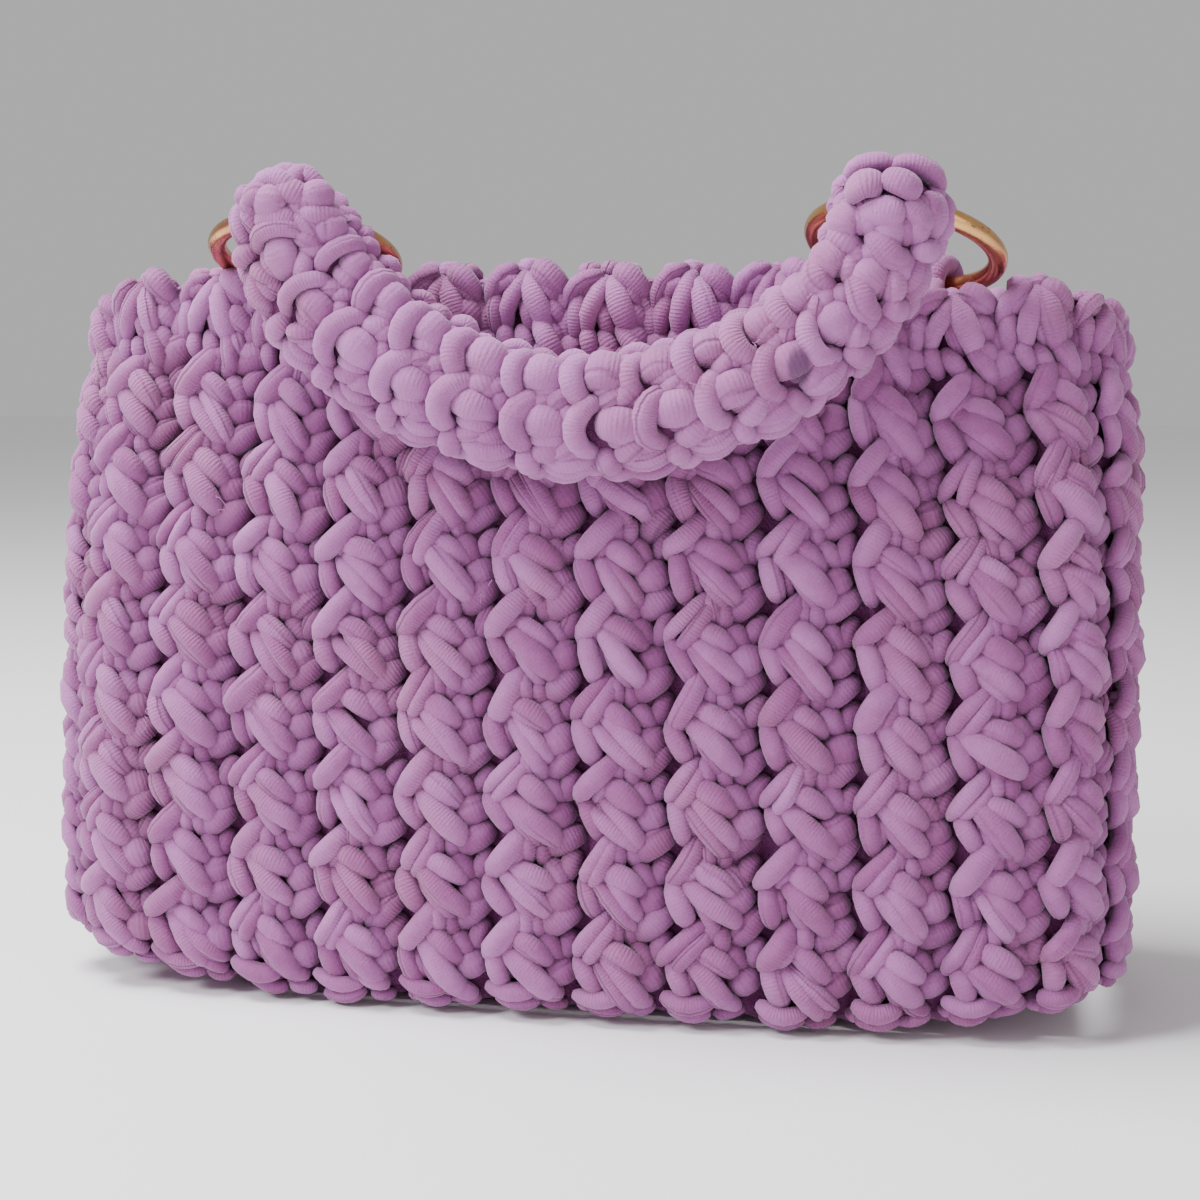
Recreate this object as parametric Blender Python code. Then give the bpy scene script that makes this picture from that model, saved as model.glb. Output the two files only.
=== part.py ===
"""A crocheted handbag: a ribbed open body, a base, a scalloped rim and a short handle on two rings.

The origin is the middle of the base, on the surface that the bag stands on. +X runs along the bag to its
right, the front faces -Y and +Z is up. Every length is in metres.
"""

import math

import bmesh
import bpy
import numpy as np
from mathutils import Matrix, Vector

# The outer size of the body, measured over the crests of its ribs.
BODY_WIDTH = 0.300
BODY_DEPTH = 0.098
BODY_HEIGHT = 0.2000
CORNER_RADIUS = 0.026
FRONT_BULGE = 0.009
REAR_BULGE = 0.006

# The ribs stand upright and run all the way round.
RIB_COUNT = 31
RIB_RELIEF = 0.0062
RIB_START = 0.0180  # from the middle of the front to the first crest
POINTS_A_RIB = 6
WALL_THICKNESS = 0.0080  # behind the valleys between the ribs

# Shape of the body from its foot to its rim: how high, and how much of the full width and depth is left.
BODY_SECTIONS = (
    # height, width, depth
    (0.00, 0.982, 0.950),
    (0.03, 0.996, 0.985),
    (0.08, 1.000, 1.000),
    (0.28, 1.000, 1.000),
    (0.50, 1.000, 0.965),
    (0.68, 0.999, 0.905),
    (0.82, 0.996, 0.835),
    (0.92, 0.988, 0.775),
    (1.00, 0.974, 0.730),
)

# The wall is in two bands of rounds, which meet level at this share of its height. The inner faces are smooth,
# and have fewer rows than the outside.
WALL_JOINT = 0.50
LOWER_INNER_HEIGHTS = (WALL_JOINT, 0.08, 0.0)
UPPER_INNER_HEIGHTS = (1.0, 0.75, WALL_JOINT)

# The foot is flat in its middle and lifts toward both ends. Its ribs are half as deep as those above.
FOOT_RIB_SHARE = 0.5
FOOT_FLAT_HALF = 0.060
FOOT_LIFT = 0.0100

# The rim dips toward both ends, at the back and under each ring.
RIM_END_DIP = 0.0110
RIM_END_POWER = 8
RIM_REAR_DIP = 0.0050
RIM_RING_DIP = 0.0040
RIM_RING_DIP_HALF = 0.0200
RIM_SCALLOP = 0.0060
EDGING_HEIGHT = 0.0130

BASE_THICKNESS = 0.0090
FIT_GAP = 0.0004

# The rings lie across the front rim: the rear arc is sewn inside it, the front arc carries the handle.
RING_WIRE = 0.0050
RING_DIAMETER = 0.0520  # outer
RING_SPREAD = 0.1600  # from the middle of one ring to the middle of the other
RING_SHIFT = 0.0083  # the handle sits this far to the right of the bag's middle
RING_TILT = math.radians(22)
RING_STAND = 0.0040  # from the top of the body up to the middle of a ring
RING_SEGMENTS = 32
WIRE_SEGMENTS = 8

LOOP_YARN = 0.0060
LOOP_ANGLE = math.radians(26)  # either side of the ring's rearmost point
LOOP_CLEARANCE = 0.0004
LOOP_SEGMENTS = 14
LOOP_SIDES = 6

# The handle hangs in a U from ring to ring, in front of the body.
HANDLE_DROP = 0.0520
HANDLE_LEFT_FULLNESS = 1.80
HANDLE_RIGHT_FULLNESS = 2.00
HANDLE_INSET = 0.0025  # each end stands this much nearer the middle than its ring
HANDLE_WIDTH = 0.0335
HANDLE_THICKNESS = 0.0220
FOLD_OVER_WIRE = 0.0125  # from the wire's middle to the top of the fold
TUNNEL_CLEARANCE = 0.0005
HANDLE_STATIONS = 40
HANDLE_SIDES = 14
HANDLE_SQUARENESS = 0.8  # 1 is an ellipse, less is squarer
HANDLE_LEAN_POWER = 3  # the ends lean out to the rings late along the U
HANDLE_TIP_ROWS = 4  # the last rows of the table below, which round off each fold

# Section of the handle from the middle of the U to the top of a fold.
HANDLE_SECTIONS = (
    # along, width, thickness
    (0.000, 1.00, 1.00),
    (0.450, 1.00, 0.98),
    (0.700, 0.95, 0.97),
    (0.800, 0.90, 1.04),
    (0.890, 0.86, 1.10),
    (0.935, 0.82, 1.05),
    (0.965, 0.70, 0.90),
    (0.985, 0.50, 0.64),
    (1.000, 0.18, 0.24),
)

YARN_COLOUR = (0.46, 0.23, 0.45)
EDGING_COLOUR = (0.50, 0.26, 0.49)
BASE_COLOUR = (0.40, 0.20, 0.39)
HANDLE_COLOUR = (0.52, 0.27, 0.50)
LOOP_COLOUR = (0.44, 0.22, 0.43)
GOLD_COLOUR = (0.72, 0.45, 0.20)


def clear_scene():
    for item in list(bpy.data.objects):
        bpy.data.objects.remove(item, do_unlink=True)


def new_collection(name):
    group = bpy.data.collections.new(name)
    bpy.context.scene.collection.children.link(group)
    return group


def new_material(name, colour, roughness, metallic=0.0):
    material = bpy.data.materials.new(name)
    material.use_nodes = True
    shader = material.node_tree.nodes["Principled BSDF"]
    shader.inputs["Base Color"].default_value = (*colour, 1.0)
    shader.inputs["Roughness"].default_value = roughness
    shader.inputs["Metallic"].default_value = metallic
    return material


def plan_outline(width, depth):
    """A dense plan outline from the middle of the front round to the right, and its outward normals."""
    half_x, half_y, radius = width / 2, depth / 2, CORNER_RADIUS
    flat_x, flat_y = half_x - radius, half_y - radius
    turn = np.linspace(0, math.pi / 2, 40)
    corners = []
    for centre_x, centre_y, start in (
        (flat_x, -flat_y, -math.pi / 2),
        (flat_x, flat_y, 0),
        (-flat_x, flat_y, math.pi / 2),
        (-flat_x, -flat_y, math.pi),
    ):
        corners.append(
            np.stack([centre_x + radius * np.cos(start + turn), centre_y + radius * np.sin(start + turn)], 1)
        )
    front_right = np.stack([np.linspace(0, flat_x, 120), np.full(120, -half_y)], 1)
    rear = np.stack([np.linspace(flat_x, -flat_x, 240), np.full(240, half_y)], 1)
    front_left = np.stack([np.linspace(-flat_x, 0, 120), np.full(120, -half_y)], 1)
    line = np.concatenate(
        [front_right[:-1], corners[0], corners[1], rear[1:-1], corners[2], corners[3], front_left[1:]]
    )
    swell = np.clip(1 - (line[:, 0] / half_x) ** 2, 0, 1)
    line[:, 1] += swell * np.where(line[:, 1] < 0, -FRONT_BULGE, REAR_BULGE) * np.abs(line[:, 1]) / half_y
    along = np.concatenate([[0], np.cumsum(np.linalg.norm(np.diff(line, axis=0), axis=1))])
    heading = np.gradient(line, along, axis=0)
    heading /= np.linalg.norm(heading, axis=1)[:, None]
    normals = np.stack([heading[:, 1], -heading[:, 0]], 1)
    return line, normals, along


def around(width, depth, shares):
    """Points and outward normals of a section's outline at these shares of the way round it."""
    line, normals, along = plan_outline(width, depth)
    place = shares * along[-1]
    points = np.stack([np.interp(place, along, line[:, k]) for k in range(2)], 1)
    facing = np.stack([np.interp(place, along, normals[:, k]) for k in range(2)], 1)
    return points, facing / np.linalg.norm(facing, axis=1)[:, None]


def section_size(height):
    """Width and depth of the body at a share of its height."""
    table = np.array(BODY_SECTIONS)
    width = np.interp(height, table[:, 0], table[:, 1]) * BODY_WIDTH
    depth = np.interp(height, table[:, 0], table[:, 2]) * BODY_DEPTH
    return float(width), float(depth)


def rib_shares():
    """Shares of the way round, with a point on every crest and in every valley."""
    count = RIB_COUNT * POINTS_A_RIB
    girth = plan_outline(BODY_WIDTH, BODY_DEPTH)[2][-1]
    return (np.arange(count) / count + RIB_START / girth) % 1.0


def valley(count):
    """0 on each crest and 1 in each valley, for the points round a section."""
    turn = np.arange(count) / POINTS_A_RIB
    return 1 - np.abs(np.cos(math.pi * turn))


def foot_height(x):
    """Height of the foot above the surface that the bag stands on."""
    beyond = np.clip((np.abs(x) - FOOT_FLAT_HALF) / (BODY_WIDTH / 2 - FOOT_FLAT_HALF), 0, None)
    return FOOT_LIFT * beyond**2


def ring_middle(side):
    """Where a ring's middle is along the bag."""
    return RING_SHIFT + side * RING_SPREAD / 2


def rim_height(points, between):
    """Height of the rim over these points of its outline, lower between the ribs."""
    x, y = points[:, 0], points[:, 1]
    half_rim = BODY_WIDTH * BODY_SECTIONS[-1][1] / 2
    height = BODY_HEIGHT - RIM_END_DIP * (np.abs(x) / half_rim) ** RIM_END_POWER
    height = height - RIM_REAR_DIP * np.clip(0.5 + y / (BODY_DEPTH * BODY_SECTIONS[-1][2]), 0, 1)
    for side in (-1, 1):
        near = np.exp(-(((x - ring_middle(side)) / RIM_RING_DIP_HALF) ** 2))
        height = height - RIM_RING_DIP * near * (y < 0)
    return height - RIM_SCALLOP * between


def body_ring(height, inward):
    """One closed row of points of the body at a share of its height, this far inside the crests."""
    points, facing = around(*section_size(height), rib_shares())
    return points - facing * np.reshape(inward, (-1, 1)), points


def loft(name, rows, closed_rows=True):
    """A closed body through rows of points, each row joined to the next and the last to the first."""
    mesh = bpy.data.meshes.new(name)
    build = bmesh.new()
    made = [[build.verts.new(point) for point in row] for row in rows]
    count = len(made[0])
    for i, row in enumerate(made):
        above = made[(i + 1) % len(made)]
        for k in range(count):
            after = (k + 1) % count
            build.faces.new((row[k], row[after], above[after], above[k]))
    bmesh.ops.recalc_face_normals(build, faces=build.faces)
    build.to_mesh(mesh)
    build.free()
    return mesh


def add_object(name, mesh, group, material, sharp_angle=50):
    item = bpy.data.objects.new(name, mesh)
    mesh.materials.append(material)
    mesh.shade_smooth()
    mesh.set_sharp_from_angle(angle=math.radians(sharp_angle))
    group.objects.link(item)
    return item


def stacked(height, inward, z):
    """A row of 3-D points: the body's outline at a share of its height, moved inward and set at z."""
    flat, _ = body_ring(height, inward)
    return [(x, y, level) for (x, y), level in zip(flat, z)]


def edging_foot():
    """Height at which the rim edging starts, round the outline."""
    outline = body_ring(1.0, 0.0)[1]
    return rim_height(outline, 0) - EDGING_HEIGHT


def wall_level(height):
    """Height above the ground of a row of the wall, round the outline, at a share of the wall's height."""
    foot = foot_height(body_ring(height, 0.0)[1][:, 0])
    return foot + (edging_foot() - FIT_GAP - foot) * height


def make_wall_band(name, heights, inner_heights, lift, group, material):
    """A closed band of the wall, ribbed outside and smooth inside. Its lowest row is lifted by this much."""
    relief = RIB_RELIEF * valley(RIB_COUNT * POINTS_A_RIB)
    full = RIB_RELIEF + WALL_THICKNESS
    rows = []
    for height in heights:
        rib_share = FOOT_RIB_SHARE if height == 0 else 1.0
        raised = lift if height == heights[0] else 0.0
        rows.append(stacked(height, relief * rib_share, wall_level(height) + raised))
    for height in inner_heights:
        raised = lift if height == heights[0] else 0.0
        rows.append(stacked(height, full, wall_level(height) + raised))
    return add_object(name, loft(name, rows), group, material)


def make_body_wall(group, material):
    heights = [height for height, _, _ in BODY_SECTIONS]
    lower = [height for height in heights if height < WALL_JOINT] + [WALL_JOINT]
    upper = [WALL_JOINT] + [height for height in heights if height > WALL_JOINT]
    make_wall_band("body_wall_lower", lower, LOWER_INNER_HEIGHTS, 0.0, group, material)
    make_wall_band("body_wall_upper", upper, UPPER_INNER_HEIGHTS, FIT_GAP, group, material)


def make_rim_edging(group, material):
    """The last row of stitches: a rounded, scalloped band that carries the ribs up over the rim."""
    between = valley(RIB_COUNT * POINTS_A_RIB)
    relief = RIB_RELIEF * between
    full = RIB_RELIEF + WALL_THICKNESS
    foot = edging_foot()
    rise = EDGING_HEIGHT - RIM_SCALLOP * between
    deep = full - relief
    profile = (
        # share of the edging's height, share of its depth from the outside in
        (0.00, 0.00),
        (0.45, -0.05),
        (0.85, 0.10),
        (1.00, 0.38),
        (0.90, 0.82),
        (0.55, 1.00),
        (0.00, 1.00),
    )
    rows = [stacked(1.0, relief + deep * inward, foot + rise * share) for share, inward in profile]
    return add_object("rim_edging", loft("rim_edging", rows), group, material)


def make_base(group, material):
    """The bottom, inside the wall: flat in its middle and curved up with the foot toward both ends."""
    full = RIB_RELIEF + WALL_THICKNESS + FIT_GAP
    line, normals, _ = plan_outline(*section_size(0.0))
    inner = line - normals * full
    half_x = float(inner[:, 0].max())
    stations = half_x * np.sin(np.linspace(-math.pi / 2, math.pi / 2, 33))
    front = inner[inner[:, 1] < 0]
    rear = inner[inner[:, 1] >= 0]
    front = front[np.argsort(front[:, 0], kind="stable")]
    rear = rear[np.argsort(rear[:, 0], kind="stable")]
    mesh = bpy.data.meshes.new("base")
    build = bmesh.new()
    sections = []
    for x in stations:
        low, high = np.interp(x, front[:, 0], front[:, 1]), np.interp(x, rear[:, 0], rear[:, 1])
        foot = float(foot_height(x))
        corners = ((low, foot), (high, foot), (high, foot + BASE_THICKNESS), (low, foot + BASE_THICKNESS))
        sections.append([build.verts.new((x, y, z)) for y, z in corners])
    for left, right in zip(sections, sections[1:]):
        for k in range(4):
            after = (k + 1) % 4
            build.faces.new((left[k], left[after], right[after], right[k]))
    build.faces.new(sections[0][::-1])
    build.faces.new(sections[-1])
    bmesh.ops.recalc_face_normals(build, faces=build.faces)
    build.to_mesh(mesh)
    build.free()
    return add_object("base", mesh, group, material)


def rim_inner_y(x):
    """The inner face of the front rim at this place along the bag."""
    line, normals, _ = plan_outline(*section_size(1.0))
    inner = line - normals * (RIB_RELIEF + WALL_THICKNESS)
    front = inner[inner[:, 1] < 0]
    front = front[np.argsort(front[:, 0], kind="stable")]
    return float(np.interp(x, front[:, 0], front[:, 1]))


def ring_radius():
    """Radius of the ring at the middle of its wire."""
    return (RING_DIAMETER - RING_WIRE) / 2


def loop_outer_radius():
    return RING_WIRE / 2 + LOOP_CLEARANCE + LOOP_YARN


def ring_frame(side):
    """A ring's place: its middle, with its rear arc low inside the rim and its front arc raised."""
    x = ring_middle(side)
    seat = max(rim_inner_y(x + k * ring_radius() * math.sin(LOOP_ANGLE)) for k in (-1, 1))
    reach = ring_radius() * math.cos(LOOP_ANGLE) * math.cos(RING_TILT)
    y = seat + FIT_GAP + loop_outer_radius() - reach
    return Matrix.Translation((x, y, BODY_HEIGHT + RING_STAND)) @ Matrix.Rotation(-RING_TILT, 4, "X")


def torus(name, frame, major, minor, major_segments, minor_segments):
    """A torus as a mesh object of its own, lying in its frame's XY plane."""
    bpy.ops.mesh.primitive_torus_add(
        major_radius=major,
        minor_radius=minor,
        major_segments=major_segments,
        minor_segments=minor_segments,
        location=(0, 0, 0),
    )
    item = bpy.context.active_object
    item.name = name
    item.matrix_world = frame
    for group in list(item.users_collection):
        group.objects.unlink(item)
    return item


def make_ring(name, side, group, material):
    item = torus(name, ring_frame(side), ring_radius(), RING_WIRE / 2, RING_SEGMENTS, WIRE_SEGMENTS)
    item.data.materials.append(material)
    item.data.shade_smooth()
    group.objects.link(item)
    return item


def make_ring_loop(name, side, turn, group, material):
    """A loop of yarn round the ring's wire, against the inside of the rim."""
    place = Matrix.Rotation(-turn * LOOP_ANGLE, 4, "Z") @ Matrix.Translation((0, ring_radius(), 0))
    upright = Matrix.Rotation(math.pi / 2, 4, "Y")
    major = RING_WIRE / 2 + LOOP_CLEARANCE + LOOP_YARN / 2
    item = torus(name, ring_frame(side) @ place @ upright, major, LOOP_YARN / 2, LOOP_SEGMENTS, LOOP_SIDES)
    item.data.materials.append(material)
    item.data.shade_smooth()
    group.objects.link(item)
    return item


def front_crest_y(x, z):
    """How far forward the crests of the body's front reach at this place along it and this height."""
    line, _, _ = plan_outline(*section_size(min(z / BODY_HEIGHT, 1.0)))
    front = line[line[:, 1] < 0]
    front = front[np.argsort(front[:, 0], kind="stable")]
    return float(np.interp(x, front[:, 0], front[:, 1]))


def wire_front(side):
    """The middle of the wire at the front of a ring."""
    return ring_frame(side) @ Vector((0, -ring_radius(), 0))


def handle_path(side):
    """Half of the handle's middle line, from the bottom of the U to the top of the fold over one ring."""
    wire = wire_front(side)
    end_x = ring_middle(side) - side * HANDLE_INSET
    span = abs(end_x - RING_SHIFT)
    fullness = HANDLE_LEFT_FULLNESS if side < 0 else HANDLE_RIGHT_FULLNESS
    low_z = wire.z - HANDLE_DROP
    low_y = front_crest_y(RING_SHIFT, low_z) - FIT_GAP - HANDLE_THICKNESS / 2
    turn = np.linspace(0, math.pi / 2, 60)
    across = np.sin(turn) ** (2 / fullness)
    rise = 1 - np.cos(turn) ** (2 / fullness)
    curve = np.stack(
        [
            RING_SHIFT + side * span * across,
            low_y + (wire.y - low_y) * across**HANDLE_LEAN_POWER,
            low_z + HANDLE_DROP * rise,
        ],
        1,
    )
    up = np.linspace(0, 1, 10)[1:, None]
    straight = curve[-1] + up * np.array([0, 0, FOLD_OVER_WIRE])
    return np.concatenate([curve, straight])


def handle_half(side, stations):
    """Rows of points round the handle, from the middle of the U to the top of one fold."""
    path = handle_path(side)
    along = np.concatenate([[0], np.cumsum(np.linalg.norm(np.diff(path, axis=0), axis=1))])
    headings = np.gradient(path, along, axis=0)
    headings[0] = (side, 0, 0)
    table = np.array(HANDLE_SECTIONS)
    body = np.linspace(0, table[-1 - HANDLE_TIP_ROWS, 0], stations - HANDLE_TIP_ROWS)
    shares = np.concatenate([body, table[-HANDLE_TIP_ROWS:, 0]])
    rows = []
    for share in shares:
        place = share * along[-1]
        middle = np.array([np.interp(place, along, path[:, k]) for k in range(3)])
        heading = np.array([np.interp(place, along, headings[:, k]) for k in range(3)])
        forward = Vector(heading).normalized()
        out = Vector((0, -1, 0))
        across = forward.cross(out).normalized() * side
        half_width = np.interp(share, table[:, 0], table[:, 1]) * HANDLE_WIDTH / 2
        half_thick = np.interp(share, table[:, 0], table[:, 2]) * HANDLE_THICKNESS / 2
        row = []
        for k in range(HANDLE_SIDES):
            angle = 2 * math.pi * k / HANDLE_SIDES
            wide = math.copysign(abs(math.cos(angle)) ** HANDLE_SQUARENESS, math.cos(angle))
            deep = math.copysign(abs(math.sin(angle)) ** HANDLE_SQUARENESS, math.sin(angle))
            row.append(Vector(middle) + across * (half_width * wide) + out * (half_thick * deep))
        rows.append(row)
    return rows


def make_handle(group, cutters, material):
    """The handle in one piece, with a tunnel in each folded end for its ring."""
    left = handle_half(-1, HANDLE_STATIONS // 2)
    right = handle_half(1, HANDLE_STATIONS // 2)
    rows = left[::-1] + right[1:]
    mesh = bpy.data.meshes.new("handle")
    build = bmesh.new()
    made = [[build.verts.new(point) for point in row] for row in rows]
    for row, after_row in zip(made, made[1:]):
        for k in range(HANDLE_SIDES):
            after = (k + 1) % HANDLE_SIDES
            build.faces.new((row[k], row[after], after_row[after], after_row[k]))
    build.faces.new(made[0])
    build.faces.new(made[-1][::-1])
    bmesh.ops.recalc_face_normals(build, faces=build.faces)
    build.to_mesh(mesh)
    build.free()
    handle = add_object("handle", mesh, group, material)
    for side, name in ((-1, "tunnel_left"), (1, "tunnel_right")):
        minor = RING_WIRE / 2 + TUNNEL_CLEARANCE
        cutter = torus(name, ring_frame(side), ring_radius(), minor, RING_SEGMENTS, WIRE_SEGMENTS)
        cutter.hide_render = True
        cutter.display_type = "WIRE"
        cutters.objects.link(cutter)
        cut = handle.modifiers.new(name, "BOOLEAN")
        cut.operation = "DIFFERENCE"
        cut.object = cutter
    return handle


def main():
    clear_scene()
    parts = new_collection("crochet_handbag")
    cutters = new_collection("cutters")
    yarn = new_material("yarn", YARN_COLOUR, 0.9)
    edging = new_material("edging_yarn", EDGING_COLOUR, 0.9)
    base = new_material("base_yarn", BASE_COLOUR, 0.9)
    handle = new_material("handle_yarn", HANDLE_COLOUR, 0.9)
    loop = new_material("loop_yarn", LOOP_COLOUR, 0.9)
    gold = new_material("gold", GOLD_COLOUR, 0.25, 1.0)
    make_body_wall(parts, yarn)
    make_base(parts, base)
    make_rim_edging(parts, edging)
    for side, word in ((-1, "left"), (1, "right")):
        make_ring(f"ring_{word}", side, parts, gold)
        for number, turn in ((1, -1), (2, 1)):
            make_ring_loop(f"ring_loop_{word}_{number}", side, turn, parts, loop)
    make_handle(parts, cutters, handle)


main()
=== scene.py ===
"""Dresses the crocheted handbag: every stitch of thick yarn, the two rings, and a plain studio round them."""

import math

import bpy
import numpy as np
from mathutils import Matrix, Vector


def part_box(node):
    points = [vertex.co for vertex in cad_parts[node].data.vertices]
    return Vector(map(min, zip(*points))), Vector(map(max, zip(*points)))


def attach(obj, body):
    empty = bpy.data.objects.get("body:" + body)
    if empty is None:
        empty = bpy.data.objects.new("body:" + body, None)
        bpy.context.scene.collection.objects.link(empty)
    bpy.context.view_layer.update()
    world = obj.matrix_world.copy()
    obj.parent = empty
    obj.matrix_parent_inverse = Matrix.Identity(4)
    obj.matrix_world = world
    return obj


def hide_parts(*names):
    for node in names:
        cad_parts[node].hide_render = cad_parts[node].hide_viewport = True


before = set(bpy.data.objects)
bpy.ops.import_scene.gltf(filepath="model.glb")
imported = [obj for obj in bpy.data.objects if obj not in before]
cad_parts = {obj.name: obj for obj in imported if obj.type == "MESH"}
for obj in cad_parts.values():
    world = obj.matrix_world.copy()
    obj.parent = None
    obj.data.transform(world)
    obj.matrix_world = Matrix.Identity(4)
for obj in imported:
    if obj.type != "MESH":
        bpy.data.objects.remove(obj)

bl_info = {
    "name": "Crocheted handbag",
    "version": (1, 0, 0),
    "blender": (4, 5, 0),
    "location": "View3D > Sidebar > Handbag",
    "description": "Works a ribbed handbag in thick yarn, stitch by stitch, round its packed model",
    "category": "Object",
}

MM = 0.001
WALL_NODES = ("body_wall_lower", "body_wall_upper")

# Each piece of yarn starts its own row of random numbers, and its strands have these sides and rings.
SEEDS = {"ribs": 40, "inside": 51, "rim": 61, "base": 71, "handle": 81, "threads": 91}
STRANDS = {"ribs": (8, 9), "inside": (6, 6), "rim": (8, 8), "base": (6, 6), "handle": (8, 14), "threads": (6, 6)}
SEEN_ARC = (-12, 204)  # where the finer sides of a strand start and how far they reach, in degrees

# Points of the surfaces: round the body, up its outline, up its surface, along the handle and round it.
AROUND, LEVELS, ROWS, STATIONS, SECTION = 372, 31, 53, 121, 60
SECTION_POWER = 0.8  # below 1, the handle's section is squarer than an oval

# Faces round and across a ring, and the yarn loops on it.
RING_PARTS, LOOP_PARTS = (96, 20), (40, 14)

# Shape of the body, in metres.
RIM_DROP_AT_ENDS = 0.0110
RIM_DROP_AT_BACK = 0.0050
DIP_HALF_WIDTH = 0.0190
RIGHT_DIP_SHIFT = 0.010  # to the right of the middle of the right ring
END_RIBS = 0.128  # crests further out than this belong to the two ends
INSIDE_RISE = 0.045  # how much higher the inner rounds lie, as a share of the body's height
PAIRED_SHARE = 0.45  # of the leaning strands, how many are pairs

# How loosely the yarn lies: the usual stray of a stitch, a strand and a point of it, in chart millimetres,
# then of a strand's turn in radians and of its length and thickness as shares.
STRAY_STITCH, STRAY_STRAND, STRAY_POINT, STRAY_OUT = 0.45, 0.28, 0.22, 0.30
STRAY_TURN, STRAY_LENGTH, STRAY_THICKNESS = 0.09, 0.05, 0.07
STRAY_PLAIN = 0.0003  # of the points of the bottom and the folds, in metres

# Painted shade: how deep under the surface a strand starts to darken, and over how much depth it turns dark, in
# metres.
SHADE_START, SHADE_DEPTH = 0.0008, 0.0072
# The bottom's and the folds' strands take the painted shade of these depths.
PLAIN_DEPTH, FOLD_DEPTH = 0.0030, 0.0032  # how deep the bottom's and the folds' strands count as lying

# Shape of the bottom, in metres.
BASE_THICKNESS = 0.009
BASE_PITCH = (0.0125, 0.0095)
BASE_HALF_DEPTH = 0.0325
BASE_SINK = 0.0026  # from a face of the bottom to the middle of its strands

# Stitches of the handle, in metres unless a share.
HANDLE_START = 0.0035  # of the first stitch, to the right of the middle
HANDLE_STOP = 0.013  # how far short of the top of a fold the stitches end
HANDLE_ROW_STEP = 2.2  # how far each row starts behind the one before, in chart millimetres
RIGHT_END_SHARE = 0.76  # from here on, the right half has slanted arches
CORE_SHRINK = 0.0045  # from the surface of the handle in to its dark ground
LOOP_SLACK = 0.0004  # between a ring's wire and the yarn round it
LOOP_RADIUS = 0.0058  # of a loop's middle line, for the fine lines across it
KNIT_LINE = 0.00082  # from one fine line of the yarn to the next

# Where each tuft of frayed ends is and how wide it spreads, in metres.
TUFTS = (
    ((0.0543, -0.0712, 0.1792), 0.0030),
    ((0.0406, -0.0722, 0.1707), 0.0034),
    ((-0.0902, -0.0560, 0.1370), 0.0026),
    ((-0.0169, -0.0580, 0.1151), 0.0022),
    ((-0.1131, -0.0555, 0.0777), 0.0022),
)
TUFT_ENDS = 3  # threads in a tuft
TUFT_RADIUS = 0.00011

# The grey mark on the handle: its middle and its half sizes.
STAIN = ((0.0650, -0.0720, 0.1728), (0.0031, 0.0080, 0.0060))

# Name, place, target, diameter, watts and colour of each light.
LIGHTS = (
    ("key_light", (-0.95, -0.80, 0.95), (0, 0, 0.10), 0.5, 19.5, (0.95, 0.96, 1.0)),
    ("fill_light", (1.1, -0.9, 0.45), (0, 0, 0.10), 1.0, 3.5, (1.0, 0.93, 0.90)),
    ("top_light", (-0.40, -0.16, 1.1), (0, 0, 0.15), 0.6, 23.0, (0.98, 0.98, 1.0)),
)
AIR_LIGHT = 0.51

# Height of a section as a share of the wall, and its width and depth as shares of the body's.
BODY_SECTIONS = (
    (0.00, 0.982, 0.950),
    (0.03, 0.996, 0.985),
    (0.08, 1.000, 1.000),
    (0.28, 1.000, 1.000),
    (0.50, 1.000, 0.965),
    (0.68, 0.999, 0.905),
    (0.82, 0.996, 0.835),
    (0.92, 0.988, 0.775),
    (1.00, 0.974, 0.730),
)

# How far along the half of the handle, its width on the left and on the right, and its thickness, as shares.
HANDLE_SECTIONS = (
    (0.000, 1.00, 1.00, 1.00),
    (0.300, 1.04, 0.98, 0.99),
    (0.450, 1.11, 0.96, 0.98),
    (0.620, 1.19, 0.92, 0.97),
    (0.750, 1.18, 0.91, 0.99),
    (0.850, 1.07, 0.91, 1.05),
    (0.900, 0.97, 0.92, 1.07),
    (0.935, 0.86, 0.84, 1.04),
    (0.965, 0.68, 0.70, 0.90),
    (0.985, 0.48, 0.50, 0.64),
    (1.000, 0.18, 0.18, 0.24),
)

# Charts of the stitches, in millimetres. Each strand is a row of points (to the right, up, out from the
# surface), then its half width, its half thickness and how blunt its ends are. A fourth number in a point
# turns the strand's face from outward towards up, in degrees.

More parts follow.
